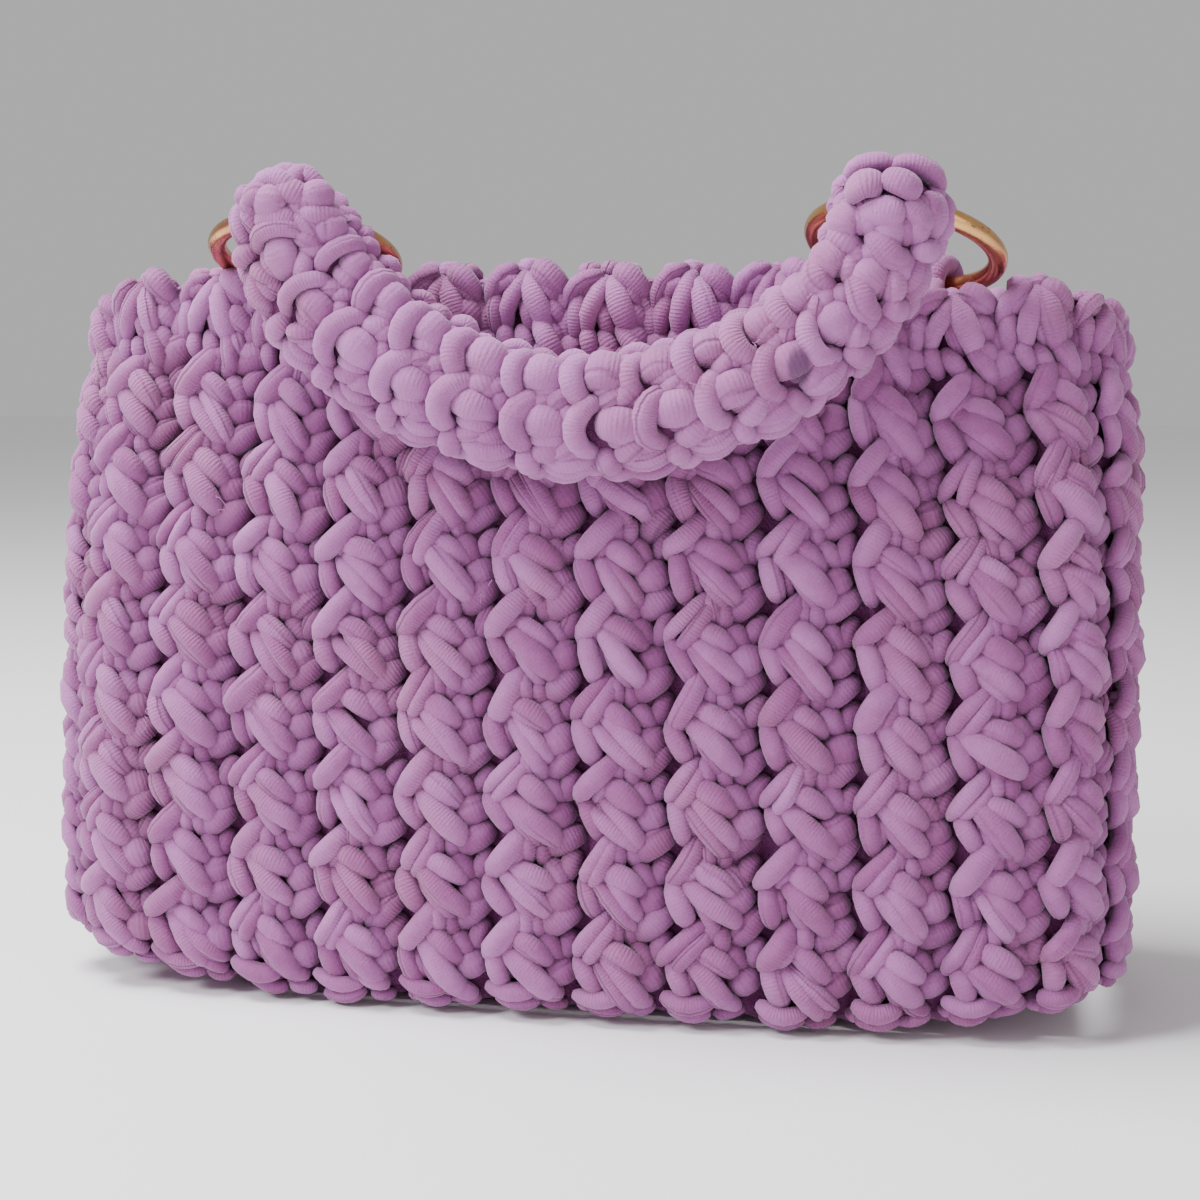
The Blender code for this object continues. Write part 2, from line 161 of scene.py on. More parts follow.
# One round of one rib, but for the two strands that lean across it.
RIB_CHART = (
    # the two that run down from the strand that leans to the right
    (((-6.6, -10.4, -6.8), (-5.4, -14.4, -4.2), (-3.7, -19.2, -4.1), (-2.2, -23.4, -6.8)), 3.0, 2.8, 0.52),
    (((-2.4, -11.6, -6.4), (-1.6, -16.2, -5.2), (-0.6, -21.6, -6.8)), 1.8, 2.1, 0.60),
    # the short fat one that leans to the left
    (((-2.8, -5.8, -7.4), (1.6, -8.4, -3.9), (6.6, -11.8, -3.3), (9.8, -16.0, -7.0)), 3.2, 2.8, 0.50),
    # the foot of the stitch
    (((2.6, 0.4, -6.6), (3.1, -3.6, -4.6), (3.4, -8.2, -6.2)), 2.4, 2.4, 0.55),
    (((6.0, -1.6, -6.8), (6.6, -4.8, -5.6), (7.0, -8.8, -7.0)), 2.5, 2.4, 0.50),
    # what lies back in the valley
    (((6.6, -7.6, -7.4), (10.0, -10.0, -6.1), (12.6, -14.0, -8.2)), 2.9, 2.7, 0.50),
    (((-7.2, 1.6, -8.8), (-12.2, -2.0, -6.6), (-17.6, -6.6, -8.8)), 3.9, 3.3, 0.45),
    (((-7.6, -4.8, -8.6), (-9.8, -8.6, -7.0), (-12.2, -13.2, -9.0)), 2.9, 2.7, 0.48),
    (((-9.2, -15.0, -9.0), (-13.2, -17.0, -6.5), (-17.2, -18.8, -9.0)), 4.5, 3.6, 0.42),
)

# The strand that leans to the right: a single one, or a pair of slimmer ones.
RIGHT_LEAN_CHARTS = (
    (
        (
            ((2.4, 1.6, -7.6), (0.6, -2.0, -4.2), (-2.8, -6.4, -2.7), (-5.8, -10.2, -3.7), (-7.2, -13.4, -7.2)),
            3.1, 2.9, 0.52,
        ),
        (((3.0, -3.4, -6.6), (1.0, -6.6, -4.6), (-1.8, -10.2, -4.4), (-3.6, -13.2, -6.6)), 1.9, 2.2, 0.50),
    ),
    (
        (
            ((1.4, 1.4, -7.4), (-0.8, -2.0, -4.2), (-4.2, -6.4, -3.1), (-6.8, -9.9, -4.2), (-7.8, -12.8, -7.2)),
            2.3, 2.6, 0.52,
        ),
        (
            ((3.2, -0.2, -7.0), (1.6, -3.8, -4.0), (-1.4, -8.6, -2.9), (-3.8, -12.2, -4.0), (-4.8, -14.8, -7.2)),
            2.3, 2.6, 0.52,
        ),
    ),
)
# The strand that leans to the left, below it, in the same two kinds.
LEFT_LEAN_CHARTS = (
    (
        (
            ((-4.6, -7.4, -7.6), (-0.6, -11.6, -4.0), (4.2, -16.6, -2.5), (8.2, -21.0, -3.6), (10.2, -25.0, -7.6)),
            3.4, 3.0, 0.52,
        ),
        (((-1.6, -13.6, -6.4), (1.6, -18.0, -4.3), (4.8, -22.2, -4.6), (6.8, -25.4, -6.8)), 2.0, 2.2, 0.55),
    ),
    (
        (
            ((-3.2, -8.2, -7.4), (1.4, -12.4, -3.9), (5.8, -17.0, -2.8), (9.2, -21.2, -3.9), (10.6, -24.6, -7.6)),
            2.7, 2.8, 0.52,
        ),
        (
            ((-4.4, -9.8, -7.4), (-0.8, -14.4, -4.0), (3.2, -19.2, -2.9), (6.4, -23.4, -4.2), (7.8, -26.8, -7.6)),
            2.7, 2.8, 0.52,
        ),
    ),
)

# The round that ends at the foot.
FOOT_CHART = (
    (((-9.0, -0.6, -5.0), (-1.5, -2.8, -3.0), (6.0, -2.0, -4.6)), 2.7, 2.6, 0.50),
    (((4.0, 1.0, -5.2), (8.6, -1.8, -4.4), (12.4, -4.0, -6.2)), 2.6, 2.5, 0.50),
    (((-6.4, -5.8, -5.4), (0.0, -6.6, -4.4), (5.4, -6.2, -5.6)), 2.2, 2.2, 0.50),
    (((5.4, -6.2, -6.4), (9.6, -6.4, -5.8), (13.6, -6.0, -6.8)), 2.1, 2.2, 0.50),
)

# Under the foot, from the outside in. The face turns down.
UNDER_CHART = (
    (((-4.6, -5.6, -4.6, -60), (-5.4, -6.4, -8.4, -90), (-6.0, -6.0, -13.0, -90)), 2.9, 2.2, 0.50),
    (((1.4, -5.6, -4.8, -60), (1.0, -6.4, -8.6, -90), (0.4, -6.0, -13.0, -90)), 2.8, 2.2, 0.50),
    (((7.6, -5.6, -5.8, -60), (7.0, -6.4, -9.0, -90), (6.6, -6.0, -13.0, -90)), 2.8, 2.2, 0.50),
)

# The last row, below the top of the rim.
RIM_CHART = (
    # the knuckles of the last upright stitch
    (((1.0, -2.4, -6.8), (-1.4, -6.8, -3.6), (-4.4, -12.4, -3.2), (-5.8, -17.6, -6.6)), 2.8, 2.7, 0.50),
    (((0.4, -3.0, -6.6), (2.6, -7.6, -3.2), (5.4, -13.6, -2.8), (7.6, -19.0, -6.4)), 3.2, 2.9, 0.50),
    (((-0.6, -8.8, -6.4), (0.4, -12.8, -4.0), (2.4, -18.6, -6.4)), 2.5, 2.5, 0.50),
    # the legs beside them
    (((-7.6, -7.4, -6.0), (-8.6, -12.0, -4.2), (-9.2, -19.0, -5.8)), 2.6, 2.6, 0.60),
    (((-11.2, -10.4, -7.0), (-12.0, -14.6, -6.2), (-12.0, -19.8, -7.6)), 2.9, 2.6, 0.55),
    (((5.2, -10.0, -6.0), (8.2, -12.0, -4.8), (11.6, -15.4, -6.8)), 3.2, 2.8, 0.45),
    (((6.0, -15.4, -6.2), (8.4, -18.0, -4.6), (10.6, -22.0, -6.4)), 3.0, 2.7, 0.45),
    # down to the first round below
    (((3.4, -14.0, -6.2), (6.2, -18.4, -3.8), (8.8, -22.6, -4.0), (10.0, -26.0, -6.4)), 2.7, 2.7, 0.50),
    (((-6.0, -15.4, -6.0), (-5.4, -19.4, -4.6), (-3.2, -24.0, -6.4)), 2.6, 2.5, 0.55),
    (((-1.8, -16.0, -6.0), (0.4, -20.0, -4.4), (2.4, -24.0, -6.2)), 2.4, 2.5, 0.55),
    (((-7.8, -18.2, -8.2), (-11.4, -20.2, -6.7), (-15.2, -21.4, -8.4)), 4.2, 3.6, 0.42),
    # the arch that makes the scallop
    (((-12.0, -13.0, -6.8), (-10.2, -7.2, -4.6), (-6.6, -3.4, -3.8), (-1.2, -1.6, -5.0)), 2.4, 2.5, 0.55),
    (((-8.4, -9.4, -6.8), (-6.0, -5.4, -4.6), (-1.8, -4.4, -5.2)), 2.3, 2.3, 0.55),
    (((2.0, -1.6, -6.2), (6.2, -3.6, -4.4), (11.8, -9.0, -6.8)), 3.6, 3.2, 0.46),
    (((3.4, -5.0, -6.0), (6.4, -7.4, -5.0), (9.4, -11.4, -6.6)), 2.8, 2.6, 0.48),
    (((8.4, -7.0, -7.4), (11.2, -10.2, -6.8), (12.8, -14.6, -8.2)), 3.0, 2.7, 0.48),
)

# Over the top of the rim and down its inner face. The face turns up and then inward.
RIM_TOP_CHART = (
    (
        ((-7.4, -4.6, -5.6, 30), (-5.6, -2.0, -7.4, 75), (-4.4, -2.6, -10.6, 110), (-3.8, -6.6, -13.0, 160)),
        3.0, 2.4, 0.45,
    ),
    (
        ((-0.2, -3.6, -6.4, 40), (0.6, -1.2, -7.8, 80), (1.2, -2.4, -10.8, 115), (1.0, -6.8, -13.0, 160)),
        2.9, 2.4, 0.45,
    ),
    (
        ((5.2, -4.6, -6.6, 30), (5.8, -2.4, -8.2, 75), (6.4, -3.4, -10.8, 115), (6.2, -7.2, -13.0, 160)),
        2.8, 2.4, 0.45,
    ),
    (
        ((10.4, -8.4, -7.6, 30), (11.4, -6.0, -8.8, 80), (12.0, -6.4, -11.0, 120), (11.8, -9.4, -13.0, 160)),
        2.7, 2.3, 0.45,
    ),
)

# The bars of the inner face, which turn their faces inward.
INSIDE_CHART = (
    (((-12.4, -2.4, -12.8, 180), (-5.8, -2.8, -11.8, 180), (0.6, -2.2, -12.6, 180)), 3.0, 2.3, 0.42),
    (((-0.4, -2.8, -12.6, 180), (6.2, -2.4, -11.8, 180), (12.6, -3.0, -12.8, 180)), 3.0, 2.3, 0.42),
    (((-9.4, -7.8, -12.8, 180), (-3.0, -8.2, -11.8, 180), (3.6, -7.6, -12.6, 180)), 3.0, 2.3, 0.42),
    (((2.8, -8.2, -12.6, 180), (9.4, -7.6, -11.8, 180), (15.6, -8.2, -12.8, 180)), 3.0, 2.3, 0.42),
    (((-12.2, -13.2, -12.8, 180), (-5.6, -13.6, -11.8, 180), (0.8, -13.0, -12.6, 180)), 3.0, 2.3, 0.42),
    (((0.0, -13.6, -12.6, 180), (6.4, -13.0, -11.8, 180), (12.8, -13.6, -12.8, 180)), 3.0, 2.3, 0.42),
    (((-9.0, -18.4, -12.8, 180), (-2.6, -19.0, -11.8, 180), (3.8, -18.4, -12.6, 180)), 3.0, 2.3, 0.42),
    (((3.2, -19.0, -12.6, 180), (9.6, -18.4, -11.8, 180), (15.8, -19.0, -12.8, 180)), 3.0, 2.3, 0.42),
)

# Stitches of the handle. Their points run along it, round it and out from it.
HANDLE_STITCH = (
    (((-0.6, 1.8, -5.8), (5.6, 2.0, -2.5), (12.6, 0.2, -5.8)), 4.8, 3.3, 0.38),
    (((2.2, -3.6, -5.6), (7.2, -2.6, -3.6), (12.4, -2.2, -5.6)), 2.8, 2.6, 0.45),
    (((3.6, -9.8, -5.8), (7.4, -6.8, -3.4), (12.4, -3.0, -5.6)), 3.0, 2.8, 0.45),
    (((7.8, -10.2, -5.8), (11.2, -6.6, -3.8), (15.4, -2.6, -5.8)), 3.0, 2.7, 0.45),
    (((9.2, 8.0, -5.8), (12.6, 5.0, -4.0), (15.8, 1.2, -5.8)), 3.1, 2.7, 0.45),
    (((3.4, 8.2, -6.4), (7.4, 7.8, -4.8), (11.6, 7.8, -6.0)), 2.9, 2.6, 0.45),
)
# The arch over each of these stitches, and the slanted one that takes its place near the right end.
HANDLE_LOBE = (
    (
        ((5.4, 8.4, -5.6), (0.6, 7.2, -3.0), (-2.6, 2.4, -2.0), (-2.2, -4.0, -2.6), (1.4, -8.6, -5.8)),
        3.2, 2.9, 0.42,
    ),
)
HANDLE_END_LOBE = (
    (((4.6, 7.4, -5.8), (1.2, 3.6, -2.8), (-2.0, -1.6, -2.8), (-1.2, -7.0, -5.8)), 3.8, 3.0, 0.45),
)
HANDLE_LOW_STITCH = (
    (((-0.4, 6.0, -5.6), (0.2, 0.8, -2.6), (0.6, -5.2, -4.8)), 3.1, 2.8, 0.35),
    (((2.2, -1.6, -5.6), (8.4, -2.8, -3.0), (15.8, -1.8, -5.4)), 2.7, 2.6, 0.50),
    (((3.0, 3.0, -5.6), (9.0, 1.8, -3.4), (15.6, 2.6, -5.6)), 2.8, 2.6, 0.50),
    (((2.6, 6.6, -5.8), (8.6, 6.2, -4.4), (14.0, 7.0, -5.8)), 2.8, 2.6, 0.50),
    (((1.0, -6.4, -5.6), (7.2, -7.2, -3.8), (13.4, -6.0, -5.6)), 2.7, 2.6, 0.50),
)
HANDLE_TOP_STITCH = (
    (((-4.6, -0.6, -5.4), (0.6, 1.4, -2.4), (6.4, 0.4, -5.0)), 3.6, 3.0, 0.42),
    (((5.0, -2.4, -5.4), (9.4, -1.2, -3.0), (14.2, -3.2, -5.4)), 3.5, 2.8, 0.45),
    (((4.0, 4.6, -5.6), (8.6, 3.8, -3.6), (13.4, 5.0, -5.6)), 3.3, 2.8, 0.45),
    (((-2.6, 5.8, -5.6), (1.4, 6.0, -3.8), (5.8, 6.6, -5.6)), 2.9, 2.6, 0.45),
)
# How far round the handle each row starts, from its front, and the stitch it is worked in.
HANDLE_ROWS = (
    (0.115, HANDLE_STITCH),
    (-0.040, HANDLE_STITCH),
    (-0.180, HANDLE_LOW_STITCH),
    (-0.320, HANDLE_STITCH),
    (-0.460, HANDLE_STITCH),
    (-0.600, HANDLE_STITCH),
    (0.260, HANDLE_TOP_STITCH),
)

# The folds over the rings, in millimetres to the right, back and up from the wire.
FOLD_CHART = (
    (((-10.0, -6.0, 1.8), (-5.8, -8.0, 4.2), (-1.2, -7.8, 3.6)), 4.6, 3.2, 0.42),
    (((-1.4, -7.0, 6.0), (3.0, -8.0, 4.2), (7.6, -6.2, 1.4)), 4.0, 3.2, 0.45),
    (((-6.4, -8.0, -3.2), (-1.0, -9.4, -2.2), (4.4, -9.0, -3.8)), 4.0, 3.0, 0.45),
    (((3.4, -7.8, -0.6), (7.0, -7.6, -3.2), (9.6, -6.6, -7.4)), 3.6, 3.0, 0.45),
    (((-10.4, -5.0, -2.6), (-11.0, 0.0, 0.2), (-10.4, 5.0, 0.4)), 3.9, 2.8, 0.45),
    (((-9.4, 6.6, 1.6), (-4.6, 8.4, 3.4), (0.4, 8.0, 2.2)), 4.6, 3.1, 0.42),
    (((0.2, 7.4, 4.2), (4.6, 8.0, 2.8), (9.0, 6.2, -0.4)), 4.2, 3.1, 0.45),
    (((-8.4, 7.8, -5.2), (-2.0, 9.2, -5.0), (5.0, 8.6, -5.8)), 4.4, 3.1, 0.45),
)
FOLD_TOP_CHARTS = {
    "left": (
        (((8.8, -5.6, -1.4), (10.2, -1.0, 0.6), (9.8, 4.6, 0.4)), 3.9, 2.8, 0.45),
        (((-6.4, 0.0, 5.8), (-1.2, -1.4, 9.2), (4.4, 0.0, 6.6)), 4.4, 3.2, 0.45),
        (((3.0, -1.0, 6.0), (7.4, -2.0, 4.4), (10.6, 0.0, -0.6)), 3.8, 3.0, 0.45),
        (((-10.4, 0.0, 0.0), (-9.0, -1.0, 3.8), (-5.2, 0.0, 6.2)), 3.8, 3.0, 0.45),
        (((-4.4, -5.6, 4.6), (0.6, -6.6, 6.4), (5.0, -5.4, 3.8)), 3.0, 2.7, 0.45),
        (((-6.6, 4.0, 5.0), (-0.6, 5.0, 6.4), (5.2, 4.0, 4.4)), 4.0, 3.0, 0.45),
    ),
    "right": (
        (((4.6, 3.4, 3.4), (8.8, 5.0, 1.0), (8.4, 6.2, -5.0)), 3.8, 2.9, 0.60),
        (((-10.0, 0.0, 4.4), (-7.6, -1.0, 8.2), (-2.6, -1.0, 9.4), (0.8, 0.0, 8.0)), 3.5, 3.0, 0.48),
        (((-0.4, -1.0, 8.2), (4.8, -1.4, 9.2), (9.6, 0.4, 6.8), (11.4, 3.0, 2.0)), 3.9, 3.1, 0.48),
        (((-7.6, 4.0, 7.0), (0.0, 5.0, 8.0), (7.2, 4.0, 6.0)), 3.9, 3.0, 0.45),
    ),
}

# From a ring's wire, to the right, back and up, over the loop's front and down into the rim.
TIE_CHART = (
    (((-1.8, -3.6, 1.6), (-2.2, -7.6, -0.6), (-2.6, -13.2, -5.6)), 2.8, 2.7, 0.5),
    (((2.0, -4.2, -1.6), (2.6, -8.0, -4.0), (2.8, -13.0, -9.4)), 2.8, 2.7, 0.5),
)

# The bottom's stitches, to the right, back and out from its face.
BASE_CHART = (
    (((-1.0, 1.2, 0.0), (5.4, 3.4, 1.4), (12.6, 2.2, 0.0)), 2.7, 2.4, 0.5),
    (((-1.0, -1.6, 0.0), (5.4, -3.6, 1.4), (12.6, -2.4, 0.0)), 2.7, 2.4, 0.5),
)


def size_setting(name, default, description):
    """A size in metres."""
    return bpy.props.FloatProperty(name=name, description=description, default=default, unit="LENGTH")


def angle_setting(name, degrees, description):
    """An angle, given here in degrees."""
    default = math.radians(degrees)
    return bpy.props.FloatProperty(name=name, description=description, default=default, unit="ROTATION")


def colour_setting(name, default, description):
    """A colour of one finish."""
    return bpy.props.FloatVectorProperty(name=name, description=description, default=default, subtype="COLOR")


class BagSizes(bpy.types.PropertyGroup):
    width: size_setting("Body width", 0.300, "Over the crests of the end ribs")
    depth: size_setting("Body depth", 0.098, "Over the crests, where the body is deepest")
    height: size_setting("Body height", 0.200, "From the ground to the top of the rim")
    corner: size_setting("Corner radius", 0.026, "Radius of the four upright corners")
    front_bulge: size_setting("Front bulge", 0.009, "How far the front swells at its middle")
    rear_bulge: size_setting("Rear bulge", 0.006, "How far the back swells at its middle")
    ribs: bpy.props.IntProperty(name="Ribs", description="Upright ribs round the body", default=31, min=8)
    rib_start: size_setting("First rib", 0.0180, "From the middle of the front to the first crest")
    rib_shift: size_setting("Rib chart shift", 0.0043, "How far left of a crest the chart of a rib starts")
    rim_shift: size_setting("Rim chart shift", 0.0055, "How far left of a crest the chart of the rim starts")
    round_height: size_setting("Round height", 0.0212, "Height of one round of stitches")
    rounds: bpy.props.IntProperty(name="Rounds", description="Rounds below the rim", default=8, min=1)
    edging: size_setting("Edging height", 0.013, "Height of the rim's own band")
    foot_flat: size_setting("Flat foot", 0.060, "Half the length of the foot that lies flat")
    foot_lift: size_setting("Foot lift", 0.010, "How far the foot lifts at both ends")
    left_sag: size_setting("Left sag", 0.0028, "How far the foot of the left end has spread")
    left_dip: size_setting("Left dip", 0.0045, "How far the rim dips under the left ring")
    right_dip: size_setting("Right dip", 0.0072, "How far the rim dips beside the right ring")
    core_depth: size_setting("Core depth", 0.0060, "From the crests in to the dark ground behind the stitches")
    core_valley: size_setting("Core valley", 0.0026, "How much deeper that ground lies between the ribs")
    core_inner: size_setting("Core inner face", 0.0122, "From the crests in to the inner side of that ground")


class HandleSizes(bpy.types.PropertyGroup):
    width: size_setting("Handle width", 0.0335, "Across the strap")
    thickness: size_setting("Handle thickness", 0.0220, "Through the strap")
    drop: size_setting("Handle drop", 0.0520, "From the rings down to the middle of the strap")
    inset_left: size_setting("Left inset", 0.0042, "How much nearer the middle than its ring the end is")
    inset_right: size_setting("Right inset", 0.0030, "How much nearer the middle than its ring the end is")
    fold: size_setting("Fold height", 0.0125, "From the wire to the top of the fold")
    pitch_middle: size_setting("Stitch pitch, middle", 0.0180, "From stitch to stitch at the bottom of the U")
    pitch_end: size_setting("Stitch pitch, ends", 0.0130, "From stitch to stitch beside the rings")
    ring_wire: size_setting("Ring wire", 0.0050, "Thickness of the rings' wire")
    ring_tilt: angle_setting("Ring tilt", 22, "How far the front of each ring is raised")
    left_sink: size_setting("Left ring's sink", 0.0018, "How far the left ring has settled into the rim")
    right_sink: size_setting("Right ring's sink", 0.0007, "How far the right ring has settled into the rim")
    right_droop: angle_setting("Right ring's droop", 9.5, "How far the right ring leans to its right")
    loop_angle: angle_setting("Loop angle", 26, "From the rearmost point of a ring to a loop of yarn")
    loop_yarn: size_setting("Loop yarn", 0.0060, "Thickness of the yarn that sews the rings on")


class BagColours(bpy.types.PropertyGroup):
    light: colour_setting("Light lilac", (0.405, 0.149, 0.378), "The palest strands")
    middle: colour_setting("Lilac", (0.268, 0.077, 0.226), "Most of the yarn")
    # The colour of painted shade, which the yarn and its ground turn towards where they lie low.
    shade_purple: colour_setting("Deep purple", (0.100, 0.018, 0.080), "Down between the strands")
    pink: colour_setting("Dusty pink", (0.332, 0.116, 0.224), "The warmer patches of the yarn")
    stain: colour_setting("Stain", (0.070, 0.030, 0.075), "The grey mark on the handle")
    gold: colour_setting("Gold", (0.720, 0.410, 0.150), "The plating of the rings")
    copper: colour_setting("Copper", (0.500, 0.210, 0.120), "Where the plating is worn warm")
    tarnish: colour_setting("Tarnish", (0.120, 0.090, 0.055), "Dull specks on the rings")
    floor: colour_setting("Floor", (0.93, 0.92, 0.92), "The plain floor")


class StudioSettings(bpy.types.PropertyGroup):
    camera_place: bpy.props.FloatVectorProperty(
        name="Camera place", description="Where the camera stands", default=(0.12352, -0.57937, 0.18011),
        subtype="TRANSLATION",
    )
    camera_yaw: angle_setting("Camera yaw", 11.95, "Turn of the camera to the left")
    camera_pitch: angle_setting("Camera pitch", 7.08, "How far the camera looks down")
    lens: bpy.props.FloatProperty(
        name="Focal length", description="Of the camera, in millimetres", default=63.01,
        subtype="DISTANCE_CAMERA",
    )


# Surfaces that the stitches are laid on.


def plan_outline(sizes, width, depth):
    """A dense plan outline of the body from the middle of the front round to the right, closed."""
    half_x, half_y, radius = width / 2, depth / 2, sizes.corner
    flat_x, flat_y = half_x - radius, half_y - radius
    turn = np.linspace(0, math.pi / 2, 40)
    corners = [
        np.stack([centre_x + radius * np.cos(start + turn), centre_y + radius * np.sin(start + turn)], 1)
        for centre_x, centre_y, start in (
            (flat_x, -flat_y, -math.pi / 2),
            (flat_x, flat_y, 0),
            (-flat_x, flat_y, math.pi / 2),
            (-flat_x, -flat_y, math.pi),
        )
    ]
    front_right = np.stack([np.linspace(0, flat_x, 120), np.full(120, -half_y)], 1)
    rear = np.stack([np.linspace(flat_x, -flat_x, 240), np.full(240, half_y)], 1)
    front_left = np.stack([np.linspace(-flat_x, 0, 120), np.full(120, -half_y)], 1)
    line = np.concatenate(
        [front_right[:-1], corners[0], corners[1], rear[1:-1], corners[2], corners[3], front_left[1:]]
    )
    swell = np.clip(1 - (line[:, 0] / half_x) ** 2, 0, 1)
    bulge = np.where(line[:, 1] < 0, -sizes.front_bulge, sizes.rear_bulge)
    line[:, 1] += swell * bulge * np.abs(line[:, 1]) / half_y
    return line


def length_along(line):
    return np.concatenate([[0], np.cumsum(np.linalg.norm(np.diff(line, axis=0), axis=1))])


def foot_height(sizes, x):
    beyond = np.clip((np.abs(x) - sizes.foot_flat) / (sizes.width / 2 - sizes.foot_flat), 0, None)
    return sizes.foot_lift * beyond**2


class Surface:
    """A grid of points and outward normals, looked up by two shares from 0 to 1."""

    def __init__(self, points, closed_first, closed_second):
        self.closed = (closed_first, closed_second)
        first = self.slope(points, 0, closed_first)
        second = self.slope(points, 1, closed_second)
        normals = np.cross(first, second)
        normals /= np.linalg.norm(normals, axis=2, keepdims=True)
        self.grid = np.concatenate([points, normals], 2)

    @staticmethod
    def slope(points, axis, closed):
        if closed:
            return np.roll(points, -1, axis) - np.roll(points, 1, axis)
        return np.gradient(points, axis=axis)

    def at(self, first, second):
        corners = []
        for share, size, closed in zip((first, second), self.grid.shape, self.closed):
            place = (share % 1.0) * size if closed else np.clip(share, 0, 1) * (size - 1)
            low = np.floor(place).astype(int)
            if not closed:
                low = np.minimum(low, size - 2)
            corners.append((low % size, (low + 1) % size, (place - low)[..., None]))
        (a, b, s), (c, d, t) = corners
        grid = self.grid
        found = (grid[a, c] * (1 - s) + grid[b, c] * s) * (1 - t) + (grid[a, d] * (1 - s) + grid[b, d] * s) * t
        points, normals = found[..., :3], found[..., 3:]
        return points, normals / np.linalg.norm(normals, axis=-1, keepdims=True)


class BodySkin:
    """The surface over the crests of the ribs, by how far round from the middle of the front and how high."""

    top_share = 1.04

    def __init__(self, sizes):
        self.sizes = sizes
        table = np.array(BODY_SECTIONS)
        shares = np.arange(AROUND) / AROUND
        heights = np.linspace(0, 1, LEVELS)
        outlines = []
        for height in heights:
            width = float(np.interp(height, table[:, 0], table[:, 1])) * sizes.width
            depth = float(np.interp(height, table[:, 0], table[:, 2])) * sizes.depth
            line = plan_outline(sizes, width, depth)
            along = length_along(line)
            outlines.append(np.stack([np.interp(shares * along[-1], along, line[:, k]) for k in range(2)], 1))
        outlines = np.array(outlines)
        self.girth = float(length_along(plan_outline(sizes, sizes.width, sizes.depth))[-1])
        foot = foot_height(sizes, outlines[10, :, 0])
        rim = self.rim_height(outlines[-1])
        rows = []
        for up in np.linspace(0, self.top_share, ROWS):
            z = foot + (rim - foot) * up
            height = np.clip((z - foot) / (rim - sizes.edging - foot), 0, 1) * (len(heights) - 1)
            low = np.minimum(np.floor(height).astype(int), len(heights) - 2)
            part = (height - low)[:, None]
            column = np.arange(len(shares))
            flat = outlines[low, column] * (1 - part) + outlines[low + 1, column] * part
            leftward = np.clip(-flat[:, 0] / (sizes.width / 2), 0, 1)
            flat[:, 0] -= sizes.left_sag * leftward**6 * (1 - min(up, 1.0))
            rows.append(np.concatenate([flat, z[:, None]], 1))
        self.surface = Surface(np.array(rows).transpose(1, 0, 2), True, False)

    def rim_height(self, outline):
        """Height of the rim, which dips at both ends, at the back and under each ring."""
        sizes, (x, y) = self.sizes, outline.T
        half = np.abs(x).max()
        height = sizes.height - RIM_DROP_AT_ENDS * (np.abs(x) / half) ** 8
        height = height - RIM_DROP_AT_BACK * np.clip(0.5 + y / (sizes.depth * BODY_SECTIONS[-1][2]), 0, 1)
        left, right = ring_centre("left").x, ring_centre("right").x + RIGHT_DIP_SHIFT
        for middle, dip in ((left, sizes.left_dip), (right, sizes.right_dip)):
            height = height - dip * np.exp(-(((x - middle) / DIP_HALF_WIDTH) ** 2)) * (y < 0)
        return height

    def at(self, around, up):
        return self.surface.at(around, np.clip(up, 0, self.top_share) / self.top_share)

    def crests(self):
        """How far round the bag each crest is."""
        return (np.arange(self.sizes.ribs) / self.sizes.ribs + self.sizes.rib_start / self.girth) % 1.0


def ring_centre(word):
    low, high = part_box(f"ring_{word}")
    return (low + high) / 2


def ring_radius(sizes):
    """Radius at the middle of the wire."""
    low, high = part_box("ring_left")
    return (high.x - low.x - sizes.ring_wire) / 2


def ring_frame(sizes, word):
    """A ring lies across the rim with its front raised; the right one also droops to its right."""
    place = Matrix.Translation(ring_centre(word))
    if word == "left":
        place = place @ Matrix.Translation((0, 0, -sizes.left_sink))
    else:
        place = place @ Matrix.Translation((-sizes.right_sink, 0, -sizes.right_sink))
        place = place @ Matrix.Rotation(sizes.right_droop, 4, "Y")
    return place @ Matrix.Rotation(-sizes.ring_tilt, 4, "X")


def handle_end(sizes, word):
    """The point of the ring's wire over which an end of the handle folds."""
    inset = sizes.inset_left if word == "left" else -sizes.inset_right
    low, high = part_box(f"ring_{word}")
    front = Matrix.Rotation(-sizes.ring_tilt, 4, "X") @ Vector((0, -ring_radius(sizes), 0))
    return (low + high) / 2 + front + Vector((inset, 0, 0))


def handle_line(sizes):
    """The middle line of the handle from the top of its left fold to that of its right one."""
    low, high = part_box("handle")
    middle_x = (ring_centre("left").x + ring_centre("right").x) / 2
    low_y = low.y + sizes.thickness / 2
    halves = []
    for side, word, fullness in ((-1, "left", 1.77), (1, "right", 1.87)):
        wire = handle_end(sizes, word)
        span = abs(handle_end(sizes, word).x - middle_x)
        turn = np.linspace(0, math.pi / 2, 60)
        across = np.sin(turn) ** (2 / fullness)
        rise = 1 - np.cos(turn) ** (2 / fullness)
        curve = np.stack(
            [
                middle_x + side * span * across,
                low_y + (wire.y - low_y) * across**3,
                wire.z - sizes.drop + sizes.drop * rise,
            ],
            1,
        )
        straight = curve[-1] + np.linspace(0, 1, 10)[1:, None] * np.array([0, 0, sizes.fold])
        halves.append(np.concatenate([curve, straight]))
    return halves


